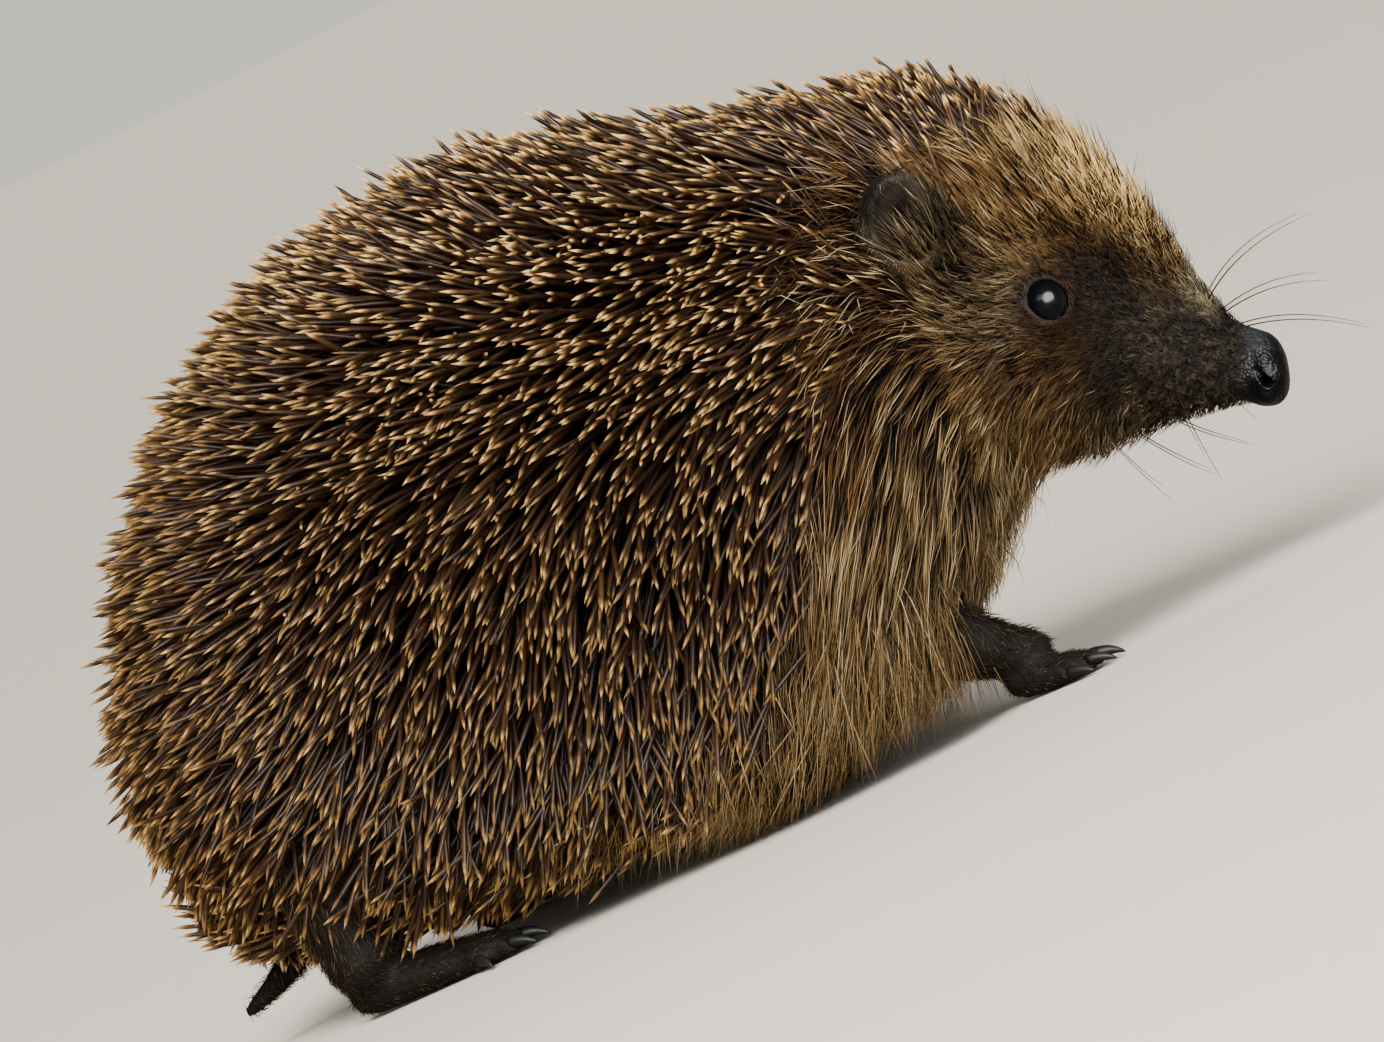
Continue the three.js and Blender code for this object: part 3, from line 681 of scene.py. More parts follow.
def gathered(paths, roots, size, pull, rng, power=1.5, loose=0.0):
    """Hairs drawn together towards their tips into locks about `size` across, and a chance number for each lock."""
    keys = cell_keys(roots / size + rng.normal(0, 0.25, roots.shape))
    group = np.unique(keys, return_inverse=True)[1].ravel()
    count = np.bincount(group)[:, None, None]
    total = np.zeros((len(count), *paths.shape[1:]))
    np.add.at(total, group, paths)
    middle = (total / count)[group]
    share = (np.linspace(0, 1, paths.shape[1]) ** power * pull)[None, :, None]
    share = share * np.broadcast_to(1 - np.asarray(loose), len(roots))[:, None, None]
    return paths + (middle - paths) * share, rng.random(len(count))[group]


# ---------------------------------------------------------------- paint
def times(tint, share):
    """A colour made darker or brighter."""
    return [part * share for part in tint[:3]]


def between(first, second, share):
    """A colour between two."""
    return [a * (1 - share) + b * share for a, b in zip(first, second)]


class Wire:
    """What a shader node gives out. Arithmetic on it adds Math nodes."""

    def __init__(self, paint, socket):
        self.paint, self.socket = paint, socket

    def math(self, operation, *values, clamp=False):
        """A Math node on values or wires."""
        settings = {"operation": operation, "use_clamp": clamp}
        return self.paint.node("ShaderNodeMath", settings, dict(enumerate(values)))

    def __add__(self, other):
        return self.math("ADD", self, other)

    def __sub__(self, other):
        return self.math("SUBTRACT", self, other)

    def __rsub__(self, other):
        return self.math("SUBTRACT", other, self)

    def __mul__(self, other):
        return self.math("MULTIPLY", self, other)

    def __truediv__(self, other):
        return self.math("DIVIDE", self, other)

    def __rtruediv__(self, other):
        return self.math("DIVIDE", other, self)

    def __pow__(self, other):
        return self.math("POWER", self, other)

    def __rpow__(self, other):
        return self.math("POWER", other, self)

    __radd__, __rmul__ = __add__, __mul__

    def absolute(self):
        """The value without its sign."""
        return self.math("ABSOLUTE", self)

    def clamped(self):
        """The value held between none and one."""
        return self.math("ADD", self, 0.0, clamp=True)

    def below(self, edge, soft):
        """None above an edge, rising to one over a soft step below it."""
        return ((edge - self) / soft).clamped()

    def above(self, edge, soft):
        """None below an edge, rising to one over a soft step above it."""
        return ((self - edge) / soft).clamped()


class Paint:
    """The nodes of a material, or of the surround, under construction."""

    def __init__(self, owner):
        owner.use_nodes = True
        self.owner, self.tree = owner, owner.node_tree
        self.tree.nodes.clear()

    def node(self, kind, settings=None, inputs=None, output=0):
        """Adds a node: its settings first, then the values or wires of its inputs."""
        made = self.tree.nodes.new(kind)
        for key, value in (settings or {}).items():
            if key == "stops":
                for position, _ in value[2:]:
                    made.color_ramp.elements.new(position)
                for stop, (position, tint) in zip(made.color_ramp.elements, value):
                    stop.position, stop.color = position, (*tint[:3], 1)
            else:
                setattr(made, key, value)
        for key, value in (inputs or {}).items():
            if isinstance(value, Wire):
                self.tree.links.new(value.socket, made.inputs[key])
            else:
                made.inputs[key].default_value = value
        return Wire(self, made.outputs[output]) if made.outputs else made

    def mix(self, share, first, second, blend="MIX"):
        """One colour turned into another by a share, which the node holds between none and one."""
        first, second = ((*c[:3], 1) if not isinstance(c, Wire) else c for c in (first, second))
        settings = {"data_type": "RGBA", "blend_type": blend, "clamp_factor": True}
        return self.node("ShaderNodeMix", settings, {0: share, 6: first, 7: second}, 2)

    def ramp(self, value, stops):
        """A colour read from a row of stops."""
        return self.node("ShaderNodeValToRGB", {"stops": stops}, {0: value})

    def stored(self, name, output="Fac"):
        """A value that the mesh carries."""
        return self.node("ShaderNodeAttribute", {"attribute_name": name}, {}, output)

    def noise(self, place, scale, detail=2.0):
        """A cloudy pattern, with so many waves to a metre."""
        return self.node("ShaderNodeTexNoise", {}, {"Vector": place, "Scale": scale, "Detail": detail})

    def position(self):
        """The place on the piece."""
        return self.node("ShaderNodeTexCoord", {}, {}, "Object")

    def parts(self, place):
        """The three parts of a place, in millimetres."""
        split = self.node("ShaderNodeSeparateXYZ", {}, {0: place})
        return [Wire(self, output) / MM for output in split.socket.node.outputs]

    def bump(self, height, strength, distance):
        """The surface's direction, roughened by a height."""
        return self.node("ShaderNodeBump", {}, {"Height": height, "Strength": strength, "Distance": distance})

    def finished(self, tint, **sockets):
        """Ends the material in one surface shader; underscores stand for spaces in the socket names."""
        inputs = {key.replace("_", " "): value for key, value in sockets.items()}
        surface = self.node("ShaderNodeBsdfPrincipled", {}, {"Base Color": tint, **inputs})
        self.node("ShaderNodeOutputMaterial", {}, {"Surface": surface})
        return self.owner


def new_paint(name):
    """A new material, to be painted."""
    return Paint(bpy.data.materials.new(name))


def markings(paint, place, colours, limb=0.0):
    """The animal's colour at a place on its skin, with some painted shade. The skin and the whole coat share it."""
    x, y, z = paint.parts(place)
    side = y.absolute()
    mirrored = paint.node("ShaderNodeCombineXYZ", {}, {0: x, 1: side, 2: z})
    mottle = paint.noise(place, 220.0)
    patterns = {
        "mottle": mottle,
        "broken": paint.noise(place, 420.0),
        "spots": ((paint.noise(place, 1000.0) - 0.5) * 6).clamped(),
    }
    gold = between(colours.fringe, colours.forehead, 0.4)

    def marked(tint, marks):
        """A colour with a row of marks laid over it."""
        for middle, radius, soft, least, more, pattern, name, bright in marks:
            apart = paint.node("ShaderNodeVectorMath", {"operation": "DISTANCE"}, {0: mirrored, 1: middle}, "Value")
            cover = patterns[pattern] * more + least if pattern else least
            mark = gold if name == "gold" else getattr(colours, name)
            tint = paint.mix(apart.below(radius + soft, soft) * cover, tint, times(mark, bright))
        return tint

    # The cheeks' colour gives way to the apron's, which is painted darker lower down as shade, and to the belly's
    # underneath.
    tint = paint.mix(mottle, times(colours.cheek, 0.75), times(colours.cheek, 1.25))
    tint = paint.mix(x.below(53, 8), tint, colours.apron)
    tint = marked(tint, CHEST_MARKS)
    tint = paint.mix(z.below(46, 30) * 0.4, tint, times(colours.apron, 0.4))
    tint = marked(tint, HEAD_MARKS)
    tint = paint.mix(z.below(22, 8) * side.below(36, 8) * x.below(46, 8), tint, colours.belly)
    tint = marked(tint, EAR_MARKS)
    return paint.mix(limb, tint, colours.limb)


def fur_paint(name, colours, limb=0.0, dark_share=0.3, depth=0.55, speck=0.5, power=1.5):
    """
    Hair painted darker towards its root, by `depth`, as shade within the coat, and brighter or darker by its tone, with
    a share of dark hairs and some pale ones among the rest. A higher `power` keeps more of each hair in that painted
    shade.
    """
    paint = new_paint(name)
    along, tone = paint.stored("along"), paint.stored("tone")
    tint = markings(paint, paint.stored("root", "Vector"), colours, limb)
    tint = paint.mix(tone.above(0.85, 1 / 9) * speck, tint, colours.speck)
    # Painted shade: each hair is darker towards its root, scaled by its tone, and warmer where it is darker.
    light = (1 - depth) + along**power * (depth * 1.3)
    light = light * (0.2 + 1.45 * tone) * (1 - tone.below(dark_share, 1 / 12) * 0.9)
    warm = paint.node("ShaderNodeCombineColor", {}, {0: light, 1: light**1.06, 2: light**1.14})
    tint = paint.mix(1.0, tint, warm, "MULTIPLY")
    return paint.finished(tint, Roughness=0.55, Specular_IOR_Level=0.02)


def spine_paint(colours):
    """Glossy spines: a golden foot, a dark shaft and a sharp pale tip, with painted light on the back and painted shade
    lower down.
    """
    paint = new_paint("spine horn")
    along, tone = paint.stored("along"), paint.stored("tone")
    root = paint.stored("root", "Vector")
    shaft, tip, foot = colours.spine_shaft, colours.spine_tip, colours.spine_foot
    gold = between(foot, tip, 0.3)
    x, _, z = paint.parts(root)
    high = (z + x * 0.5).above(60, 30)  # painted light from above: on the back and the crown the tips are painted longer and paler
    stops = (
        (0.0, foot), (0.1, foot), (0.2, shaft), (0.5, times(shaft, 1.2)), (0.78, times(shaft, 1.5)),
        (0.89, shaft), (0.92, times(gold, 0.5)), (0.94, gold), (0.957, tip), (1.0, tip),
    )
    tint = paint.ramp(along + (tone - 0.5) * 0.04 + high * 0.014, stops)
    patch = ((paint.noise(root, 90.0) - 0.45) * 2.4 + (tone - 0.6)).clamped()
    tint = paint.mix(patch * along**3 * 0.6, tint, times(gold, 0.6))
    # Some tips are dull by chance, and more of them lower down as painted shade.
    dull_and_shaded = tone.below(0.8 - 0.25 * high, 1 / 7) * along.above(0.86, 1 / 16)
    tint = paint.mix(dull_and_shaded * 0.7, tint, times(gold, 0.55))
    tint = paint.mix(tone.below(0.15, 1 / 20) * 0.85, tint, shaft)
    # Painted shade: spines lower on the body are darkened towards the shaft's colour.
    tint = paint.mix((1 - high) * 0.33, tint, shaft)
    return paint.finished(tint, Roughness=0.4, Specular_IOR_Level=0.032)


def skin_paint(colours):
    """Dark, finely wrinkled skin that carries the coat's markings, with painted shade where the coat over it is deep.
    """
    paint = new_paint("hedgehog skin")
    place = paint.position()
    tint = markings(paint, place, colours, paint.stored("limb"))
    fine, broad = paint.noise(place, 900.0, 3.0), paint.noise(place, 160.0)
    tint = paint.mix(0.35 + 0.5 * fine, tint, times(colours.mask, 0.3))
    # Painted shade: where the coat over the skin is deep, between the spines and under long hair, the skin is made near
    # black.
    tint = paint.mix(paint.stored("cover").above(2.5, 3) * 0.92, tint, colours.under)
    normal = paint.bump(fine * 0.6 + broad * 0.4, 0.5, 0.0008)
    return paint.finished(tint, Roughness=0.6 + 0.2 * fine, Normal=normal, Specular_IOR_Level=0.025)


def nose_paint(colours):
    """Wet, finely pebbled skin, dry on the top of the nose and along its edge; the dry top is also given a painted grey
    sheen.
    """
    paint = new_paint("wet nose")
    place = paint.position()
    cells = paint.node("ShaderNodeTexVoronoi", {"feature": "F1"}, {"Vector": place, "Scale": 1700.0}, "Distance")
    broad = paint.noise(place, 500.0)
    tint = paint.mix(broad, colours.nose, times(colours.nose, 1.8))
    x, _, z = paint.parts(place)
    up, ahead = x * NOSE_UP[0] + z * NOSE_UP[2], x * NOSE_AHEAD[0] + z * NOSE_AHEAD[2]
    # The top of the nose: dry skin, painted grey as the sheen that light from above leaves on it.
    top = ((up - 68.2) / 2.0 + (broad - 0.5) * 1.6).clamped() * ahead.below(72.6, 3.0) * up.below(73.4, 1.6)
    tint = paint.mix(top * 0.85, tint, colours.nose_top_sheen)
    tint = paint.mix(((68.6 - ahead) / 2.5 + (broad - 0.5)).clamped() * 0.8, tint, colours.mask)
    dry = (top + ahead.below(68.5, 2.5)).clamped()
    relief = (1 - cells) * (0.9 + dry * 1.8) + broad * (0.5 + dry * 3)
    normal = paint.bump(relief, 0.8, 0.00018)
    return paint.finished(tint, Roughness=0.38 + 0.3 * dry, Normal=normal, Specular_IOR_Level=0.03)


def eye_paint(colours):
    """A dark brown eye under a clear wet surface."""
    paint = new_paint("wet eye")
    streaks = paint.noise(paint.position(), 700.0)
    tint = paint.mix(streaks, colours.eye, times(colours.eye, 1.8))
    return paint.finished(tint, Roughness=0.2, IOR=1.15)


def claw_paint(colours):
    """Grey horn, darker at its root, with fine lines along it."""
    paint = new_paint("claw horn")
    lines = paint.noise(paint.position(), 1500.0, 3.0)
    tint = paint.mix(paint.stored("along"), times(colours.claw, 0.45), times(colours.claw, 1.25))
    tint = paint.mix(lines * 0.4, tint, times(colours.claw, 0.3))
    normal = paint.bump(lines, 0.3, 0.0001)
    return paint.finished(tint, Roughness=0.4 + 0.15 * lines, Normal=normal, Specular_IOR_Level=0.04)


def whisker_paint(colours):
    """Smooth dark hair, a little paler at its tip."""
    paint = new_paint("whisker")
    tint = paint.mix(paint.stored("along"), colours.mask, times(colours.mask, 1.8))
    return paint.finished(tint, Roughness=0.4, Specular_IOR_Level=0.1)


def floor_paint(stage):
    """Plain pale paper with the faintest clouds in it."""
    paint = new_paint("studio floor")
    clouds = paint.noise(paint.position(), 3.0) * 0.05
    tint = paint.mix(clouds, stage.floor_colour, times(stage.floor_colour, 0.8))
    return paint.finished(tint, Roughness=0.9, Specular_IOR_Level=0.1)


# ---------------------------------------------------------------- what a user may change
def linear(code):
    """A colour written as six hexadecimal digits, as the linear values that Blender keeps."""
    parts = [int(code[i : i + 2], 16) / 255 for i in (0, 2, 4)]
    return tuple(c / 12.92 if c < 0.04045 else ((c + 0.055) / 1.055) ** 2.4 for c in parts)


def a_length(name, description, default):
    """A size in metres."""
    return FloatProperty(name=name, description=description, default=default, min=0.0, unit="LENGTH")


def an_angle(name, description, degrees):
    """An angle, which Blender keeps in radians."""
    return FloatProperty(name=name, description=description, default=math.radians(degrees), subtype="ANGLE")


def a_strength(name, description, default, unit="NONE"):
    """How strong a light is."""
    return FloatProperty(name=name, description=description, default=default, min=0.0, unit=unit)


def a_colour(name, description, code):
    """A colour, from its six digits."""
    return FloatVectorProperty(name=name, description=description, default=linear(code), subtype="COLOR", min=0, max=1)


class HedgehogSizes(bpy.types.PropertyGroup):
    """Sizes of the coat and the fine parts."""

    detail: a_length("Skin detail", "Side of the voxels that the skin is modelled in", 0.0006)
    nose_detail: a_length("Nose detail", "Side of the voxels that the nose is modelled in", 0.00016)
    spine_length: a_length("Spine length", "Length of a full-grown spine", 0.021)
    spine_radius: a_length("Spine radius", "Half the thickness of a spine at its middle", 0.00046)
    spine_spacing: a_length("Spine spacing", "Distance between neighbouring spines at their roots", 0.0016)
    face_spacing: a_length("Face hair spacing", "Distance between neighbouring hairs of the face", 0.00045)
    apron_spacing: a_length("Apron hair spacing", "Distance between the long hairs of the sides and chest", 0.00074)
    belly_spacing: a_length("Belly hair spacing", "Distance between the hairs of the belly", 0.001)
    limb_spacing: a_length("Limb hair spacing", "Distance between the hairs of the legs and tail", 0.0006)
    ear_spacing: a_length("Ear hair spacing", "Distance between the hairs of the ears", 0.00045)
    face_hair_radius: a_length("Face hair radius", "Half the thickness of a hair of the face", 0.000105)
    long_hair_radius: a_length("Long hair radius", "Half the thickness of a long hair", 0.000155)
    limb_hair_radius: a_length("Leg hair radius", "Half the thickness of a hair of the legs", 0.000065)
    ear_hair_radius: a_length("Ear hair radius", "Half the thickness of a hair of the ears", 0.00005)
    whisker_radius: a_length("Whisker radius", "Half the thickness of a whisker at its root", 0.00013)
    seed: IntProperty(name="Seed", description="Start of the chance that places the hairs", default=7)


class HedgehogColours(bpy.types.PropertyGroup):
    """Colours of the coat and the fine parts."""

    spine_shaft: a_colour("Spine shaft", "Dark middle of a spine", "2a1b10")
    spine_tip: a_colour("Spine tip", "Pale end of a spine", "ffd68c")
    spine_foot: a_colour("Spine foot", "Golden band at the root of a spine", "8a541a")
    # Painted shade, laid on the skin where the coat is deep and in the ears' pits.
    under: a_colour("Under the spines", "Skin between the spines", "0e0906")
    apron: a_colour("Apron", "Long hair of the sides and chest", "a88a5c")
    fringe: a_colour("Fringe", "Hair behind the ears", "7b552e")
    forehead: a_colour("Forehead", "Hair of the forehead", "ffd892")
    cheek: a_colour("Cheek", "Hair of the cheeks and temples", "775934")
    mask: a_colour("Mask", "Hair round the eyes and on the muzzle", "221912")
    lid: a_colour("Eyelid", "Bare skin round the eyes", "4e382c")
    speck: a_colour("Pale hair", "Single pale hairs among the rest", "dacaa4")
    chin: a_colour("Chin", "Hair under the jaw", "665438")
    belly: a_colour("Belly", "Hair of the belly", "7c6a4c")
    limb: a_colour("Legs", "Skin and hair of the legs", "17110d")
    ear: a_colour("Ear", "Skin and hair of the ears", "5e5447")
    # The dry skin's colour and a painted sheen on the top of the nose.
    nose_top_sheen: a_colour("Nose top", "Dry skin on the top of the nose", "2c3134")
    nose: a_colour("Nose", "Wet skin of the nose", "050506")
    claw: a_colour("Claw", "Horn of the claws", "22211f")
    eye: a_colour("Eye", "Dark of the eyes", "06070b")


class HedgehogStage(bpy.types.PropertyGroup):
    """Camera, lights and floor."""

    camera_distance: a_length("Camera distance", "From the camera to the animal", 1.6)
    camera_rise: an_angle("Camera rise", "How far the camera looks down", 4)
    camera_roll: an_angle("Camera roll", "How far the camera leans to its right", 26)
    view_width: a_length("View width", "Width of what the camera sees at the animal", 0.2145)
    floor_colour: a_colour("Floor", "Colour of the floor", "d9d4cc")
    sky_colour: a_colour("Sky", "Colour of the light from above", "c4c0b8")
    horizon_colour: a_colour("Horizon", "Colour behind the floor's edge", "fffaf0")
    sky_strength: a_strength("Surround strength", "Strength of the surrounding light", 0.83)
    key_power: a_strength("Main light", "Strength of the main light", 2.7)
    window_power: a_strength("Window light", "Power of the wide soft light", 13.0, "POWER")
    sheen_power: a_strength("Sheen light", "Power of the light that shines in the eyes and on the nose", 360.0, "POWER")


# ---------------------------------------------------------------- forms of the skin and the nose
COAT_STEP = 6  # voxels between the places where the coat's depth is worked out
LIMB_TOPS = (("forearm", 5.0, -13), ("shank", 6.5, 0))  # thickness inside the trunk, and how far back it leans


def with_limbs(block, trunk):
    """The trunk with its limbs, which are led on into the trunk, and the limbs alone."""
    limbs = block.closed(LIMBS, 6, OUTER_REACH) + LIMB_HAIR
    for part, reach, back in LIMB_TOPS:
        for side, sign in SIDES:
            corners = node_points(f"{part}_{side}")
            top = corners[corners[:, 2] > corners[:, 2].max() - 2].mean(0)
            limbs = joined(limbs, block.rod(top - (0, 0, 3), top + (back, -3 * sign, 13), reach * 0.8, reach), 2.0)
    return joined(trunk, limbs, 3.0), limbs


def with_ears(block, form):
    """The form with its ears: leaning cups, open to the side and the front."""
    for side, sign in SIDES:
        out, cup = np.array([0.0, sign, 0.0]), ear_cup(side)
        ear = block.ball(cup, (5.9, 3.3, 7.9), EAR_LEAN)
        lower = block.rod(cup - out * 1 - EAR_UP * 4, cup - out * 9 - EAR_UP * 5 + EAR_AHEAD * 3, 3.4, 5.0)
        upper = block.rod(cup - out * 1, cup - out * 11 + EAR_AHEAD * 2, 3.4, 5.0)
        form = joined(form, joined(joined(ear, lower, 2.0), upper, 2.5), 2.0)
    for side, sign in SIDES:
        out, cup = np.array([0.0, sign, 0.0]), ear_cup(side)
        hollow = block.ball(cup + out * 2.9 + EAR_AHEAD * 2.5 + EAR_UP * 0.1, (6.5, 4.1, 6.8), EAR_LEAN)
        canal = block.ball(cup + out * 0.2 + EAR_AHEAD * 1.7 - EAR_UP * 0.8, (2.8, 4.4, 3.2), EAR_LEAN)
        form = cut(cut(form, hollow, 0.5), canal, 1.2)
    return form


def eye_way(sign):
    """Where an eye looks."""
    return unit(np.array(EYE_WAY) * (1, sign, 1))


def with_eyelids(block, form):
    """The form with a socket round each eye, a rim of lid and a small fold at the corner towards the nose."""
    for side, sign in SIDES:
        middle, out = node_middle(f"eye_{side}"), eye_way(sign)
        nose_way = unit(np.cross(out, [0.0, 0.0, 1.0]) * sign)
        form = joined(form, block.ball(middle - out * 1.6, 4.6), 1.5)
        form = cut(form, block.ball(middle, EYE_RADIUS + 0.12), 0.3)
        x, y, z = block.x - middle[0], block.y - middle[1], block.z - middle[2]
        height = x * out[0] + y * out[1] + z * out[2]
        span = np.sqrt(np.maximum(x * x + y * y + z * z - height * height, 0))
        lid = np.sqrt((span - LID_RADIUS) ** 2 + (height - LID_HEIGHT) ** 2) - LID_THICKNESS
        corner = block.ball(middle + nose_way * 4.1 + out * 0.3 - (0, 0, 0.8), (0.8, 0.8, 0.5))
        form = joined(joined(form, lid, 0.6), corner, 0.5)
    return form


def build_skin(sizes, colours):
    """Makes the skin as one closed mesh, with the depth of its coat stored at each corner."""
    block = Block(*BODY_BLOCK, sizes.detail / MM)
    coat = block.closed(TRUNK + ("nose",) + EARS + EYES, DEEPEST_COAT, OUTER_REACH)
    coarse = [np.arange(0, n + COAT_STEP, COAT_STEP) for n in block.shape]
    grid = np.stack(np.meshgrid(*coarse, indexing="ij"), -1).reshape(-1, 3)
    depth = coat_at(((grid + block.first) * block.voxel).astype(np.float32))[1]
    depth = depth.reshape([len(c) for c in coarse]).astype(np.float32)
    trunk = blurred(coat + spread(depth, block.shape, COAT_STEP), 2)
    form, limbs = with_limbs(block, trunk)
    form = with_eyelids(block, with_ears(block, form))
    points, triangles, quads = block.surface(np.maximum(form, FLOOR_GAP - block.z))
    faces = facing_out(points, [quads, triangles])
    piece = new_piece("skin", points, faces, skin_paint(colours), TRUNK + LIMBS + EARS)
    OUTSIDE["block"], OUTSIDE["coat"] = block, coat
    clear_of_ear = np.clip((away(points, ear_cup("left")) - 7.5) / 2, 0, 1)
    give(piece, "cover", "FLOAT", np.clip(-past_coat(points), 0, DEEPEST_COAT + 1) * clear_of_ear)
    limb = np.clip((block.sample(trunk, points) - block.sample(limbs, points)) / 2 + 0.3, 0, 1)
    give(piece, "limb", "FLOAT", limb)


def build_nose(sizes, colours):
    """Makes the wet nose pad with its nostrils."""
    low, high = (np.array(v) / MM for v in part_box("nose"))
    block = Block(low - 3.5, high + 1.5, sizes.nose_detail / MM)

    def at(ahead, side, up):
        """A place on the nose, so far ahead, to the side and up from its middle."""
        return NOSE_MIDDLE + NOSE_AHEAD * ahead + np.array([0, side, 0]) + NOSE_UP * up

    x, z = block.x - NOSE_MIDDLE[0], block.z - NOSE_MIDDLE[2]
    forward, height = x * NOSE_AHEAD[0] + z * NOSE_AHEAD[2], x * NOSE_UP[0] + z * NOSE_UP[2]
    box = (np.abs(forward - 0.1 + 0.14 * height) / 4.2) ** 2.4 + (np.abs(block.y) / 4.8) ** 2.4
    pad = ((box + (np.abs(height + 0.2) / 5.7) ** 2.4) ** (1 / 2.4) - 1) * 4.2
    pad = joined(pad, block.rod(at(-3.5, 0, -0.6), at(-9, 0, 0.6), 4.3, 4.6), 1.5)
    pad = joined(pad, block.rod(at(-7.0, 0, 5.2), at(-0.7, 0, 2.3), 3.2, 3.3), 1.2)
    for _, sign in SIDES:
        pad = joined(pad, block.ball(at(0.9, sign * 2.5, -1.1), 2.9), 1.0)
        pad = joined(pad, block.ball(at(0.3, sign * 3.6, 1.3), 1.5), 0.9)
        pad = joined(pad, block.ball(at(0.9, sign * 3.2, -3.9), 1.3), 0.9)
        for start, end, radii, soft in NOSE_GROOVES:
            start, end = (at(ahead, sign * side, up) for ahead, side, up in (start, end))
            pad = cut(pad, block.rod(start, end, *radii), soft)
    pad = cut(pad, block.rod(at(4.6, 0, 2.0), at(4.0, 0, -5.5), 0.35), 0.6)
    points, triangles, quads = block.surface(pad)
    faces = facing_out(points, [quads, triangles])
    new_piece("nose_pad", points, faces, nose_paint(colours), ["nose"])


def build_eyes(colours):
    """Makes each eye as a smooth ball with a slightly raised front."""
    material, rows, columns, bulge = eye_paint(colours), 28, 48, 0.15
    ring = np.arange(columns)
    after = (ring + 1) % columns
    last = 1 + (rows - 2) * columns
    quads = []
    for row in range(rows - 2):
        a, b = 1 + row * columns, 1 + (row + 1) * columns
        quads.append(np.stack([a + ring, b + ring, b + after, a + after], 1))
    front = np.stack([np.zeros(columns, int), 1 + ring, 1 + after], 1)
    back = np.stack([last + after, last + ring, np.full(columns, last + columns)], 1)
    for side, sign in SIDES:
        middle, out = node_middle(f"eye_{side}"), eye_way(sign)
        across = unit(np.cross(out, [0.0, 0.0, 1.0]))
        over = np.cross(across, out)
        points = [middle + out * (EYE_RADIUS + bulge)]
        for row in range(1, rows):
            polar = math.pi * row / rows
            reach = EYE_RADIUS + bulge * max(0.0, math.cos(polar)) ** 6
            for column in range(columns):
                turn = 2 * math.pi * column / columns
                flat = across * math.cos(turn) + over * math.sin(turn)
                points.append(middle + reach * (out * math.cos(polar) + flat * math.sin(polar)))
        points.append(middle - out * EYE_RADIUS)
        faces = [np.concatenate(quads), np.concatenate([front, back])]
        new_piece(f"eyeball_{side}", np.array(points), faces, material, [f"eye_{side}"])


def build_claws(colours):
    """Makes the five claws of each foot as curved, tapered horns."""
    material, stations = claw_paint(colours), 10
    taper = 0.92 * (1 - np.linspace(0, 1, stations)[:-1] ** 1.6) ** 0.8 + 0.06
    for foot in ("forepaw", "hindfoot"):
        for side, _ in SIDES:
            names = [f"claw_{foot}_{side}_{i}" for i in range(1, 6)]
            paw = node_middle(f"{foot}_{side}")
            paths = []
            for name in names:
                corners = node_points(name)
                tip = corners[np.linalg.norm((corners - paw)[:, :2], axis=1).argmax()]
                span = np.linalg.norm(corners - tip, axis=1)
                start = corners[span > span.max() * 0.9].mean(0)
                way = tip - start
                knee = start + way * 0.55 + np.array([0, 0, 0.32 * abs(way[2]) + 0.35])
                paths.append(bow(start, knee, tip, stations))
            paths = above_floor(np.array(paths), 0.15)
            radii = np.tile(taper, (len(names), 1))
            paths[..., 2] = np.maximum(paths[..., 2], np.pad(radii, ((0, 0), (0, 1))) + 0.05)
            tone = np.full(len(names), 0.5)
            egg = (paw, PAW_RADII)
            bristles(f"claws_{foot}_{side}", paths, radii, 12, paths[:, 0], tone, material, egg, names)


# ---------------------------------------------------------------- the coat
SPINE_STATIONS = (0, 0.35, 0.72, 0.9, 1.0)  # shares of a spine's length
SPINE_TAPER = (0.8, 1.0, 0.96, 0.76)  # thickness at each station but the point
SPINE_PARTS = ("rump", "flank", "shoulder")
# Where the head's hair stands out of the coat: the place, how far round it, and how far the hair stands out there.
STANDING = (((82, 0, 70), 26, 3.2), ((89, 0, 60), 15, 3.0), ((66, 0, 27), 20, 3.6), ((52, 0, 30), 14, 2.6))
EAR_FOOT = ((56, 28, 64), 11)  # where a tuft stands in front of the ear, and how wide it is
# Where each whisker starts, where it bends towards and where it ends.
WHISKERS = (
    ((89.5, 4.2, 42.0), (97, 9, 48), (109, 12, 47)), ((90.5, 4.4, 39.0), (99, 8, 41), (107.5, 11, 36.5)),
    ((91.0, 4.4, 36.0), (101, 9, 35), (110.5, 12, 27)), ((86.0, 6.5, 37.0), (90, 16, 37), (97, 25, 30)),
    ((83.0, 6.8, 34.0), (85, 17, 31), (88, 26, 22)), ((79.0, 7.2, 33.0), (78, 18, 28), (79, 26, 18)),
    ((76.0, 5.5, 28.5), (80, 8, 23), (86, 9, 18)), ((70.0, 5.5, 29.0), (74, 8, 22), (79, 9, 16)),
    ((66.0, 6.0, 30.0), (68, 9, 23), (71, 10, 17)), ((75.0, 11, 58.0), (82, 17, 64), (86, 20, 72)),
)


def chance(sizes, step):
    """The source of chance of one step, so that no step's hairs move when another's change."""
    return np.random.default_rng(sizes.seed + step)


def thickness(rng, radius, taper, low, high, count):
    """The radius along each of many hairs, some thinner and some thicker than the rest."""
    return radius / MM * np.array(taper) * rng.uniform(low, high, (count, 1))


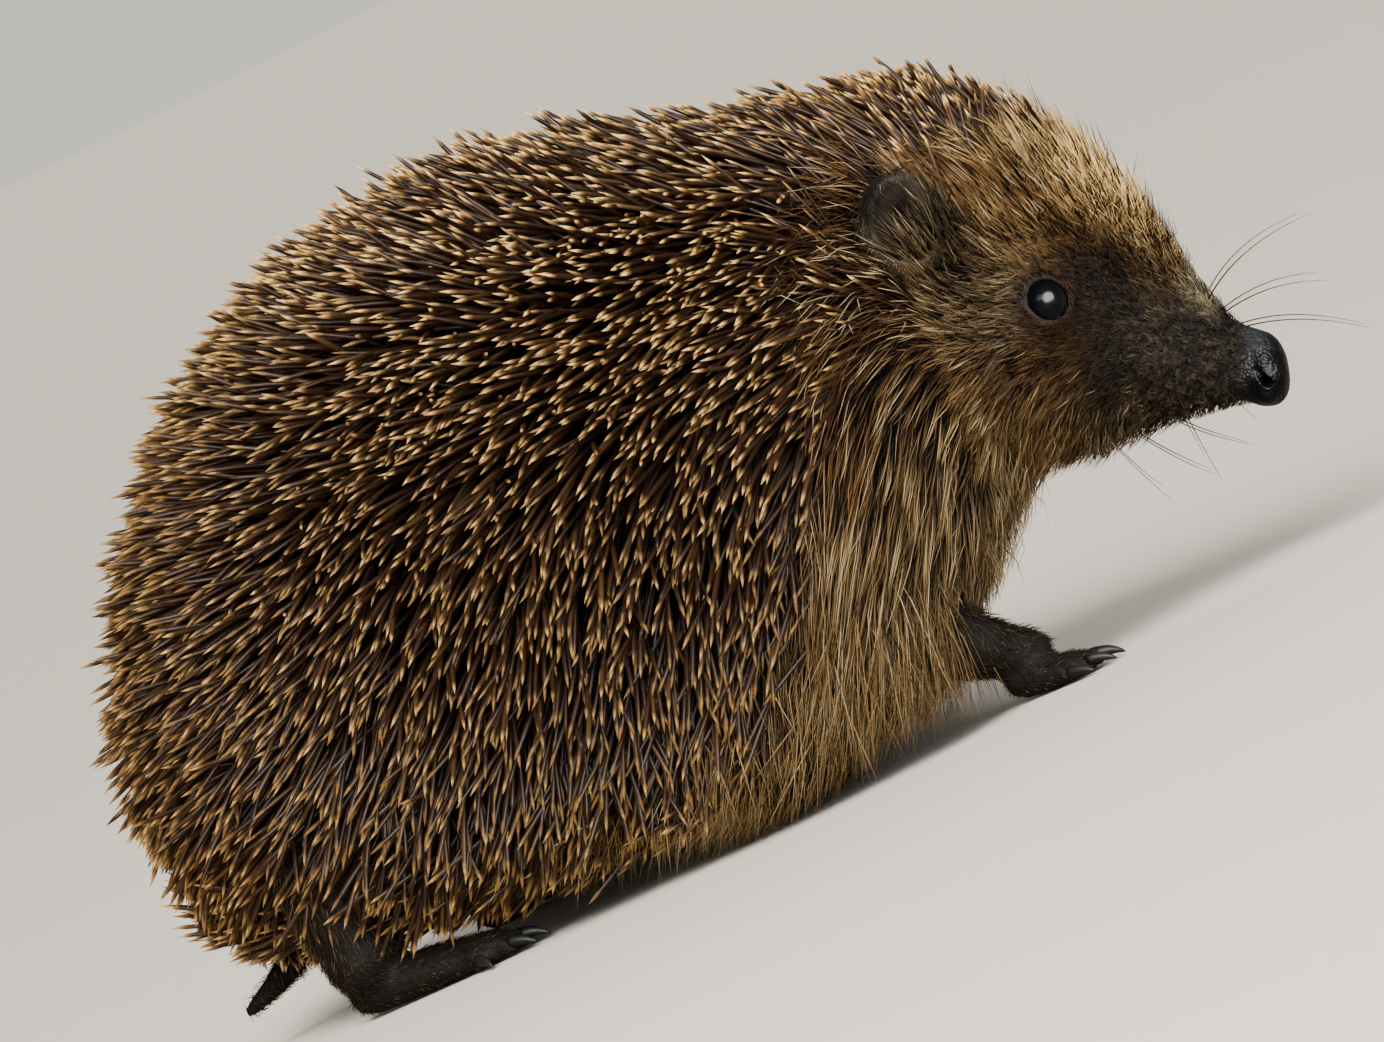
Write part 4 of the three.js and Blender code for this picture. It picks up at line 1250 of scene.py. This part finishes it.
def build_spines(sizes, colours):
    """Grows the spines, in three pieces on each side."""
    rng, skin = chance(sizes, 0), Skin()

    def on_back(points, limb):
        return (limb < 0.3) & (points[:, 0] < SPINES_FRONT)

    roots, normals, cover = skin.roots(rng, sizes.spine_spacing / MM, on_back)
    ways, seen, _ = lie(rng, roots, normals, 15.0)
    lengths = sizes.spine_length / MM * rng.uniform(0.84, 1.08, len(roots))
    lengths *= np.interp(roots[:, 0], [30, 60, 80], [1.0, 0.9, 0.75])
    over = rng.normal(-1.6, 1.5, len(roots)) + (rng.random(len(roots)) > 0.86) * rng.uniform(0.5, 3.4, len(roots))
    paths = reaching(roots, normals, ways, lengths, cover, over, SPINE_STATIONS, 0.1, seen)
    tips, ear = paths[:, -1], ear_cup("left")
    keep = (spiny(tips, rng, 1.3) > 0) & (tips[:, 2] > 0.4) & (cover > SPINE_COVER) & (paths[..., 2].min(1) > 0.3)
    keep &= OUTSIDE["block"].holds(tips) & (past_coat(tips) < STRAY_TIP)
    keep &= away(roots, ear) > EAR_CLEARANCE
    for station in range(1, len(SPINE_STATIONS)):
        keep &= away(paths[:, station], ear) > EAR_CLEARANCE
    roots, paths = roots[keep], paths[keep]
    tone = rng.random(len(roots))
    slim = np.interp(away(roots, ear), [9, 22], [0.65, 1.0]) * np.interp(roots[:, 0], [50, 76], [1.0, 0.75])
    radii = sizes.spine_radius / MM * np.array(SPINE_TAPER)
    radii = radii * (slim * rng.uniform(0.85, 1.12, len(roots)))[:, None]
    material = spine_paint(colours)
    for side, sign in SIDES:
        mine = np.flatnonzero(roots[:, 1] * sign > 0)
        mine = mine[np.argsort(roots[mine, 0])]
        for part, some in zip(SPINE_PARTS, np.array_split(mine, len(SPINE_PARTS))):
            name = f"spines_{part}_{side}"
            bristles(name, paths[some], radii[some], 5, roots[some], tone[some], material)


def build_face_fur(sizes, colours):
    """Grows the short hair of the head, with a tuft in front of each ear."""
    rng, skin = chance(sizes, 1), Skin()
    eye, ear = node_middle("eye_left"), ear_cup("left")

    def on_head(points, limb):
        in_front = (points - ear) @ (EAR_AHEAD * 0.8 - EAR_UP * 0.6) > 3.6
        clear = (away(points, eye) > 4.0) & ((away(points, ear) > 6.8) | in_front)
        head = (points[:, 0] > HEAD_BACK) & (points[:, 0] < HEAD_FRONT) & (points[:, 2] > THROAT)
        return head & clear & (limb < 0.5) & (spiny(points) < 14)

    roots, normals, cover = skin.roots(rng, sizes.face_spacing / MM, on_head)
    normals = past_ear(roots, normals)
    lengths = coat_at(roots)[2] * rng.uniform(0.7, 1.25, len(roots))
    ways, seen, curl = lie(rng, roots, normals, 19.0, lengths)
    over = rng.normal(-0.2, 0.22, len(roots)) * np.clip(lengths, 1, 9)
    for place, reach, stand in STANDING:
        over += nearness(roots, place, reach) * rng.exponential(stand, len(roots))
    foot = nearness(roots, *EAR_FOOT)
    over += foot * (5.5 + rng.exponential(1.0, len(roots)))
    paths = reaching(roots, normals, ways, lengths, cover, over, (0, 0.45, 1.0), 0.45, seen, curl)
    keep = spiny(paths[:, -1], rng, 1.5) < 2.5
    keep &= (away(paths[:, -1], ear - EAR_AHEAD * 2.2 + EAR_UP * 1.6) > 5.0) & (bends(paths) < 1.1)
    roots, paths, lengths, over, foot = roots[keep], paths[keep], lengths[keep], over[keep], foot[keep]
    paths, lock = gathered(swayed(paths, lengths, 0.06, rng), roots, 2.0, 0.62, rng)
    x, z = roots[:, 0], roots[:, 2]
    # Painted light: hairs standing further out of the coat are made brighter; the rest of the tone is chance, by hair
    # and by lock.
    tone = rng.random(len(roots)) * 0.5 + lock * 0.44 + np.clip(over, 0, 3) * 0.06 - foot * 0.4
    contrast = np.maximum(nearness(roots, (87, 2, 64), 20) * 0.8, np.clip((z - 62) / 12, 0, 0.6))
    tone = tone + (tone - 0.46) * contrast
    plain = (x > 77) & (z < 45) | (away(roots, (76, 12, 54)) < 9)
    tone = np.where(plain & (rng.random(len(roots)) > 0.05), np.minimum(tone, 0.84), np.clip(tone, 0, 1))
    loose = (over > 1.6) & (x > 70) & (z > 45) & (rng.random(len(roots)) > 0.6)
    tone = np.where(loose, 0.12, tone)
    radii = sizes.face_hair_radius / MM * np.array([1.0, 0.75]) * np.clip(lengths / 6, 0.75, 1.3)[:, None]
    radii = radii * rng.uniform(0.8, 1.2, (len(roots), 1))
    material = fur_paint("face fur", colours, dark_share=0.34, depth=0.65, speck=0.35)
    bristles_by_side("face_fur", paths, radii, 3, roots, tone, material, HEAD_EGG)


def build_apron_fur(sizes, colours):
    """Grows the long hair of the sides and chest, in hanging locks, and the fringe behind the ears."""
    rng, skin = chance(sizes, 2), Skin()

    def on_sides(points, limb):
        x, side, z = points[:, 0], np.abs(points[:, 1]), points[:, 2]
        outer = (side > 24) | (x > 34) & ((z < 60) | (side > 12))
        behind = (x <= APRON_FRONT) & (x > APRON_BACK) & (away(points, ear_cup("left")) > 8)
        return outer & behind & (limb < 0.5) & (spiny(points) < 22)

    roots, normals, cover = skin.roots(rng, sizes.apron_spacing / MM, on_sides)
    normals = past_ear(roots, normals)
    lengths = coat_at(roots)[2] * rng.uniform(0.55, 1.15, len(roots))
    ways, seen, curl = lie(rng, roots, normals, 11.0, lengths)
    over = rng.normal(-1.6, 1.7, len(roots))
    over += nearness(roots, (48, 0, 30), 24) * rng.exponential(4.5, len(roots))
    paths = reaching(roots, normals, ways, lengths, cover, over, (0, 0.3, 0.65, 1.0), 0.7, seen, curl)
    fringe = np.maximum(nearness(roots, (44, 31, 80), 26) * 36, nearness(roots, (40, 39, 62), 16) * 12)
    keep = (spiny(paths[:, -1], rng, 2.0) < 2.0 + fringe) & (spiny(paths[:, 2]) < 5 + fringe)
    dropped = np.interp(away(roots, (32, 40, 68)), [8, 16], [0.5, 0.72])
    keep &= (spiny(roots) < 4) | (rng.random(len(roots)) > dropped)
    keep &= bends(paths[:, 1:]) < 0.7
    roots, normals, lengths, over, fringe = roots[keep], normals[keep], lengths[keep], over[keep], fringe[keep]
    loose = np.clip(fringe / 12, 0, 0.8)
    paths, lock = gathered(swayed(paths[keep], lengths, 0.07, rng), roots, 2.6, 0.85, rng, 1.2, loose)
    # Painted shade: locks not picked as lit, more of them lower down, are made dark, and hairs lying deeper in the coat
    # are darker; the rest of the tone is chance.
    lit = np.where(lock > np.interp(roots[:, 2], [10, 45], [0.82, 0.58]), 0.35 + 0.4 * lock, 0.0)
    inward = normals * ((lit == 0) * np.clip(1 - fringe / 12, 0, 1) * 1.3)[:, None]
    paths = above_floor(paths - inward[:, None] * np.linspace(0, 1, paths.shape[1])[:, None])
    tone = np.clip(0.3 * rng.random(len(roots)) + lit + 0.12 + over * 0.12, 0, 1)
    radii = thickness(rng, sizes.long_hair_radius, (1.0, 0.9, 0.62), 0.65, 1.2, len(roots))
    material = fur_paint("apron hair", colours, dark_share=0.16, depth=0.93, power=2.6)
    bristles_by_side("apron_fur", paths, radii, 3, roots, tone, material, APRON_EGG)


def build_belly_fur(sizes, colours):
    """Grows the hair of the belly."""
    rng, skin = chance(sizes, 3), Skin()

    def on_belly(points, limb):
        side = np.abs(points[:, 1])
        low = (points[:, 0] <= BELLY_FRONT) & (points[:, 2] < BELLY_TOP) & (side < BELLY_SIDE)
        return low & (limb < 0.5) & (spiny(points) < 14)

    roots, normals, cover = skin.roots(rng, sizes.belly_spacing / MM, on_belly)
    down = normals[:, 2] < 0.1
    roots, normals, cover = roots[down], normals[down], cover[down]
    ways = lie(rng, roots, normals, 14.0)[0]
    lengths = coat_at(roots)[2] * rng.uniform(0.7, 1.15, len(roots))
    rise = np.minimum(np.maximum(cover, 1.0) * rng.uniform(0.5, 1.1, len(roots)), lengths * 0.5)
    paths = above_floor(grown(roots, normals, ways, lengths, rise, (0, 0.4, 1.0)))
    tone = rng.random(len(roots))
    radii = thickness(rng, sizes.long_hair_radius, (0.9, 0.75), 0.7, 1.25, len(roots))
    material = fur_paint("belly hair", colours, dark_share=0.1)
    bristles("belly_fur", paths, radii, 3, roots, tone, material, BELLY_EGG)


def build_limb_fur(sizes, colours):
    """Grows the short hair of the legs and tail: down the legs and forwards over the feet."""
    rng, skin = chance(sizes, 4), Skin()

    def on_limbs(points, limb):
        return (limb > 0.5) & (points[:, 2] > 1.2)

    roots, normals, _ = skin.roots(rng, sizes.limb_spacing / MM, on_limbs)
    down = np.where(roots[:, 2:] < 9, [[0.95, 0.0, -0.3]], [[0.1, 0.0, -1.0]])
    ways = unit(down - dots(down, normals) * normals + rng.normal(0, 0.15, roots.shape))
    lengths = np.interp(roots[:, 2], [2, 10, 20], [1.0, 1.8, 4.0]) * rng.uniform(0.7, 1.25, len(roots))
    paths = above_floor(grown(roots, normals, ways, lengths, lengths * 0.28, (0, 0.5, 1.0), sink=0.25))
    tone = rng.random(len(roots))
    radii = thickness(rng, sizes.limb_hair_radius, (1.0, 0.75), 0.7, 1.3, len(roots))
    material = fur_paint("leg hair", colours, limb=0.88, dark_share=0.0, depth=0.3, speck=0.08)
    bristles("limb_fur", paths, radii, 3, roots, tone, material, LEGS_EGG)


def build_ear_fur(sizes, colours):
    """Grows the fine hair of the ears, sparser in their hollows."""
    rng, skin = chance(sizes, 5), Skin()
    ear = ear_cup("left")

    def on_ears(points, limb):
        return (away(points, ear) < 10.5) & (limb < 0.5) & ((points - ear) @ EAR_AHEAD < 5.5)

    roots, normals, _ = skin.roots(rng, sizes.ear_spacing / MM, on_ears)
    hollow = (ear + EAR_AHEAD * 2.5) * (1, 0, 1) + np.sign(roots) * (0, ear[1] + 3, 0)
    bare = (dots(normals, hollow - roots).ravel() > 0) & (away(roots, ear) < 7) & (rng.random(len(roots)) > 0.12)
    roots, normals = roots[~bare], normals[~bare]
    outward = unit((roots - ear * (1, 0, 1)) * (1, 0.3, 1) - ear * np.sign(roots) * (0, 0.3, 0))
    ways = unit(outward - dots(outward, normals) * normals + rng.normal(0, 0.25, roots.shape))
    lengths = rng.uniform(0.7, 1.6, len(roots))
    paths = grown(roots, normals, ways, lengths, lengths * 0.18, (0, 0.5, 1.0), sink=0.15)
    tone = rng.random(len(roots))
    radii = thickness(rng, sizes.ear_hair_radius, (1.0, 0.7), 0.7, 1.3, len(roots))
    material = fur_paint("ear hair", colours, dark_share=0.1, depth=0.2, speck=0.3)
    bristles("ear_fur", paths, radii, 3, roots, tone, material, EARS_EGG)


def build_whiskers(sizes, colours):
    """Grows the whiskers, each in one even bow."""
    rng, stations = chance(sizes, 6), 12
    paths = []
    for _, sign in SIDES:
        for row in WHISKERS:
            start, knee, end = (np.array(p) * (1, sign, 1) for p in row)
            end = end + rng.normal(0, 0.6, 3) * (0.3, 1, 1)
            paths.append(bow(start, knee, end, stations))
    paths = np.array(paths)
    taper = 1 - 0.75 * np.linspace(0, 1, stations)[:-1]
    radii = sizes.whisker_radius / MM * np.tile(taper, (len(paths), 1))
    tone = rng.random(len(paths))
    bristles("whiskers", paths, radii, 4, paths[:, 0], tone, whisker_paint(colours), SNOUT_EGG)


# ---------------------------------------------------------------- the stage
AIM = (2.67, 0, 45.8)  # what the camera looks at
FLOOR_RADIUS = 30.0  # metres
FLOOR_CORNERS = 96


def place_camera(stage, scene):
    """Sets the camera at the animal's right side, leaning to its right and looking a little down."""
    roll, rise = stage.camera_roll, stage.camera_rise
    right = Vector((math.cos(roll), 0, -math.sin(roll)))
    lean = Vector((math.sin(roll), 0, math.cos(roll)))
    back = Vector((0, -math.cos(rise), 0)) + lean * math.sin(rise)
    turn = Matrix((right, back.cross(right), back)).transposed().to_4x4()
    camera = bpy.data.objects.new("camera", bpy.data.cameras.new("camera"))
    camera.data.sensor_width = 36
    camera.data.lens = 36 * stage.camera_distance / stage.view_width
    camera.data.clip_start, camera.data.clip_end = 0.05, 100
    camera.matrix_world = Matrix.Translation(Vector(AIM) * MM + back * stage.camera_distance) @ turn
    scene.collection.objects.link(camera)
    scene.camera = camera


def place_lamp(scene, name, kind, place, power, tint, spread, diffuse=True, glossy=True):
    """Sets one lamp that shines at the origin. A sun's spread is its angle in degrees, any other's its width."""
    light = bpy.data.lights.new(name, "SUN" if kind == "SUN" else "AREA")
    light.energy, light.color = power, tint
    if kind == "SUN":
        light.angle = math.radians(spread)
    else:
        light.shape, light.size = kind, spread
    lamp = bpy.data.objects.new(name, light)
    lamp.visible_diffuse, lamp.visible_glossy = diffuse, glossy
    lamp.location = place
    lamp.rotation_euler = (-Vector(place)).to_track_quat("-Z", "Y").to_euler()
    scene.collection.objects.link(lamp)


def build_stage(stage, scene):
    """Sets the camera, the soft lights, the surround and the floor."""
    place_camera(stage, scene)
    key, window, sheen = stage.key_power, stage.window_power, stage.sheen_power
    place_lamp(scene, "main light", "SUN", (-0.25, -0.6, 1.0), key, (1.0, 0.94, 0.84), 30, glossy=False)
    place_lamp(scene, "back light", "SUN", (0.2, 0.9, 0.8), key * 0.3, (1.0, 0.94, 0.86), 30)
    place_lamp(scene, "window light", "SQUARE", (-0.35, -0.85, 0.75), window, (1.0, 0.95, 0.87), 0.5)
    place_lamp(scene, "sheen light", "DISK", (0.40, -1.00, 0.41), sheen, (0.97, 0.98, 1.0), 1.2, diffuse=False)

    surround = Paint(bpy.data.worlds.new("surround"))
    ways = surround.node("ShaderNodeTexCoord", {}, {}, "Generated")
    height = surround.node("ShaderNodeSeparateXYZ", {}, {0: ways}, "Z")
    sky = surround.ramp(height, ((0.06, stage.horizon_colour), (0.4, stage.sky_colour)))
    glow = surround.node("ShaderNodeBackground", {}, {"Color": sky, "Strength": stage.sky_strength})
    surround.node("ShaderNodeOutputWorld", {}, {"Surface": glow})
    scene.world = surround.owner

    mesh = bpy.data.meshes.new("floor")
    turns = [2 * math.pi * i / FLOOR_CORNERS for i in range(FLOOR_CORNERS)]
    rim = [(FLOOR_RADIUS * math.cos(turn), FLOOR_RADIUS * math.sin(turn), 0) for turn in turns]
    mesh.from_pydata(rim, [], [list(range(FLOOR_CORNERS))])
    mesh.materials.append(floor_paint(stage))
    floor = bpy.data.objects.new("floor", mesh)
    scene.collection.objects.link(floor)


# ---------------------------------------------------------------- operators and panel
class HEDGEHOG_OT_stage(bpy.types.Operator):
    """Set the camera, the soft lights and the floor"""

    bl_idname = "hedgehog.stage"
    bl_label = "Stage"
    bl_options = {"REGISTER", "UNDO"}

    def execute(self, context):
        build_stage(context.scene.hedgehog_stage, context.scene)
        return {"FINISHED"}


class HEDGEHOG_OT_skin(bpy.types.Operator):
    """Make the skin of the whole animal as one mesh"""

    bl_idname = "hedgehog.skin"
    bl_label = "Skin"
    bl_options = {"REGISTER", "UNDO"}

    def execute(self, context):
        build_skin(context.scene.hedgehog_sizes, context.scene.hedgehog_colours)
        return {"FINISHED"}


class HEDGEHOG_OT_eyes(bpy.types.Operator):
    """Make the two eyes"""

    bl_idname = "hedgehog.eyes"
    bl_label = "Eyes"
    bl_options = {"REGISTER", "UNDO"}

    def execute(self, context):
        build_eyes(context.scene.hedgehog_colours)
        return {"FINISHED"}


class HEDGEHOG_OT_nose(bpy.types.Operator):
    """Make the wet nose"""

    bl_idname = "hedgehog.nose"
    bl_label = "Nose"
    bl_options = {"REGISTER", "UNDO"}

    def execute(self, context):
        build_nose(context.scene.hedgehog_sizes, context.scene.hedgehog_colours)
        return {"FINISHED"}


class HEDGEHOG_OT_claws(bpy.types.Operator):
    """Make the claws of the four feet"""

    bl_idname = "hedgehog.claws"
    bl_label = "Claws"
    bl_options = {"REGISTER", "UNDO"}

    def execute(self, context):
        build_claws(context.scene.hedgehog_colours)
        return {"FINISHED"}


class HEDGEHOG_OT_spines(bpy.types.Operator):
    """Grow the spines of the back and sides"""

    bl_idname = "hedgehog.spines"
    bl_label = "Spines"
    bl_options = {"REGISTER", "UNDO"}

    def execute(self, context):
        build_spines(context.scene.hedgehog_sizes, context.scene.hedgehog_colours)
        return {"FINISHED"}


class HEDGEHOG_OT_face_fur(bpy.types.Operator):
    """Grow the short hair of the head"""

    bl_idname = "hedgehog.face_fur"
    bl_label = "Face fur"
    bl_options = {"REGISTER", "UNDO"}

    def execute(self, context):
        build_face_fur(context.scene.hedgehog_sizes, context.scene.hedgehog_colours)
        return {"FINISHED"}


class HEDGEHOG_OT_apron_fur(bpy.types.Operator):
    """Grow the long hair of the sides and chest"""

    bl_idname = "hedgehog.apron_fur"
    bl_label = "Apron hair"
    bl_options = {"REGISTER", "UNDO"}

    def execute(self, context):
        build_apron_fur(context.scene.hedgehog_sizes, context.scene.hedgehog_colours)
        return {"FINISHED"}


class HEDGEHOG_OT_belly_fur(bpy.types.Operator):
    """Grow the hair of the belly"""

    bl_idname = "hedgehog.belly_fur"
    bl_label = "Belly hair"
    bl_options = {"REGISTER", "UNDO"}

    def execute(self, context):
        build_belly_fur(context.scene.hedgehog_sizes, context.scene.hedgehog_colours)
        return {"FINISHED"}


class HEDGEHOG_OT_limb_fur(bpy.types.Operator):
    """Grow the short hair of the legs and tail"""

    bl_idname = "hedgehog.limb_fur"
    bl_label = "Leg hair"
    bl_options = {"REGISTER", "UNDO"}

    def execute(self, context):
        build_limb_fur(context.scene.hedgehog_sizes, context.scene.hedgehog_colours)
        return {"FINISHED"}


class HEDGEHOG_OT_ear_fur(bpy.types.Operator):
    """Grow the fine hair of the ears"""

    bl_idname = "hedgehog.ear_fur"
    bl_label = "Ear hair"
    bl_options = {"REGISTER", "UNDO"}

    def execute(self, context):
        build_ear_fur(context.scene.hedgehog_sizes, context.scene.hedgehog_colours)
        return {"FINISHED"}


class HEDGEHOG_OT_whiskers(bpy.types.Operator):
    """Grow the whiskers"""

    bl_idname = "hedgehog.whiskers"
    bl_label = "Whiskers"
    bl_options = {"REGISTER", "UNDO"}

    def execute(self, context):
        build_whiskers(context.scene.hedgehog_sizes, context.scene.hedgehog_colours)
        return {"FINISHED"}


OPERATORS = (
    HEDGEHOG_OT_stage,
    HEDGEHOG_OT_skin,
    HEDGEHOG_OT_eyes,
    HEDGEHOG_OT_nose,
    HEDGEHOG_OT_claws,
    HEDGEHOG_OT_spines,
    HEDGEHOG_OT_face_fur,
    HEDGEHOG_OT_apron_fur,
    HEDGEHOG_OT_belly_fur,
    HEDGEHOG_OT_limb_fur,
    HEDGEHOG_OT_ear_fur,
    HEDGEHOG_OT_whiskers,
)


class VIEW3D_PT_hedgehog(bpy.types.Panel):
    """Lists the steps that make the hedgehog, and its sizes and colours"""

    bl_idname = "VIEW3D_PT_hedgehog"
    bl_label = "Hedgehog"
    bl_space_type = "VIEW_3D"
    bl_region_type = "UI"
    bl_category = "Hedgehog"

    def draw(self, context):
        for step in OPERATORS:
            self.layout.operator(step.bl_idname)
        for group in (context.scene.hedgehog_sizes, context.scene.hedgehog_colours, context.scene.hedgehog_stage):
            box = self.layout.box()
            for key in group.__annotations__:
                box.prop(group, key)


CLASSES = (HedgehogSizes, HedgehogColours, HedgehogStage, *OPERATORS, VIEW3D_PT_hedgehog)


def register():
    for made in CLASSES:
        bpy.utils.register_class(made)
    bpy.types.Scene.hedgehog_sizes = PointerProperty(type=HedgehogSizes)
    bpy.types.Scene.hedgehog_colours = PointerProperty(type=HedgehogColours)
    bpy.types.Scene.hedgehog_stage = PointerProperty(type=HedgehogStage)


def unregister():
    del bpy.types.Scene.hedgehog_stage, bpy.types.Scene.hedgehog_colours, bpy.types.Scene.hedgehog_sizes
    for made in reversed(CLASSES):
        bpy.utils.unregister_class(made)


def main():
    """Makes every piece in order."""
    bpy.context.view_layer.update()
    register()
    for step in OPERATORS:
        getattr(bpy.ops.hedgehog, step.bl_idname.split(".")[1])()


if __name__ == "__main__":
    main()
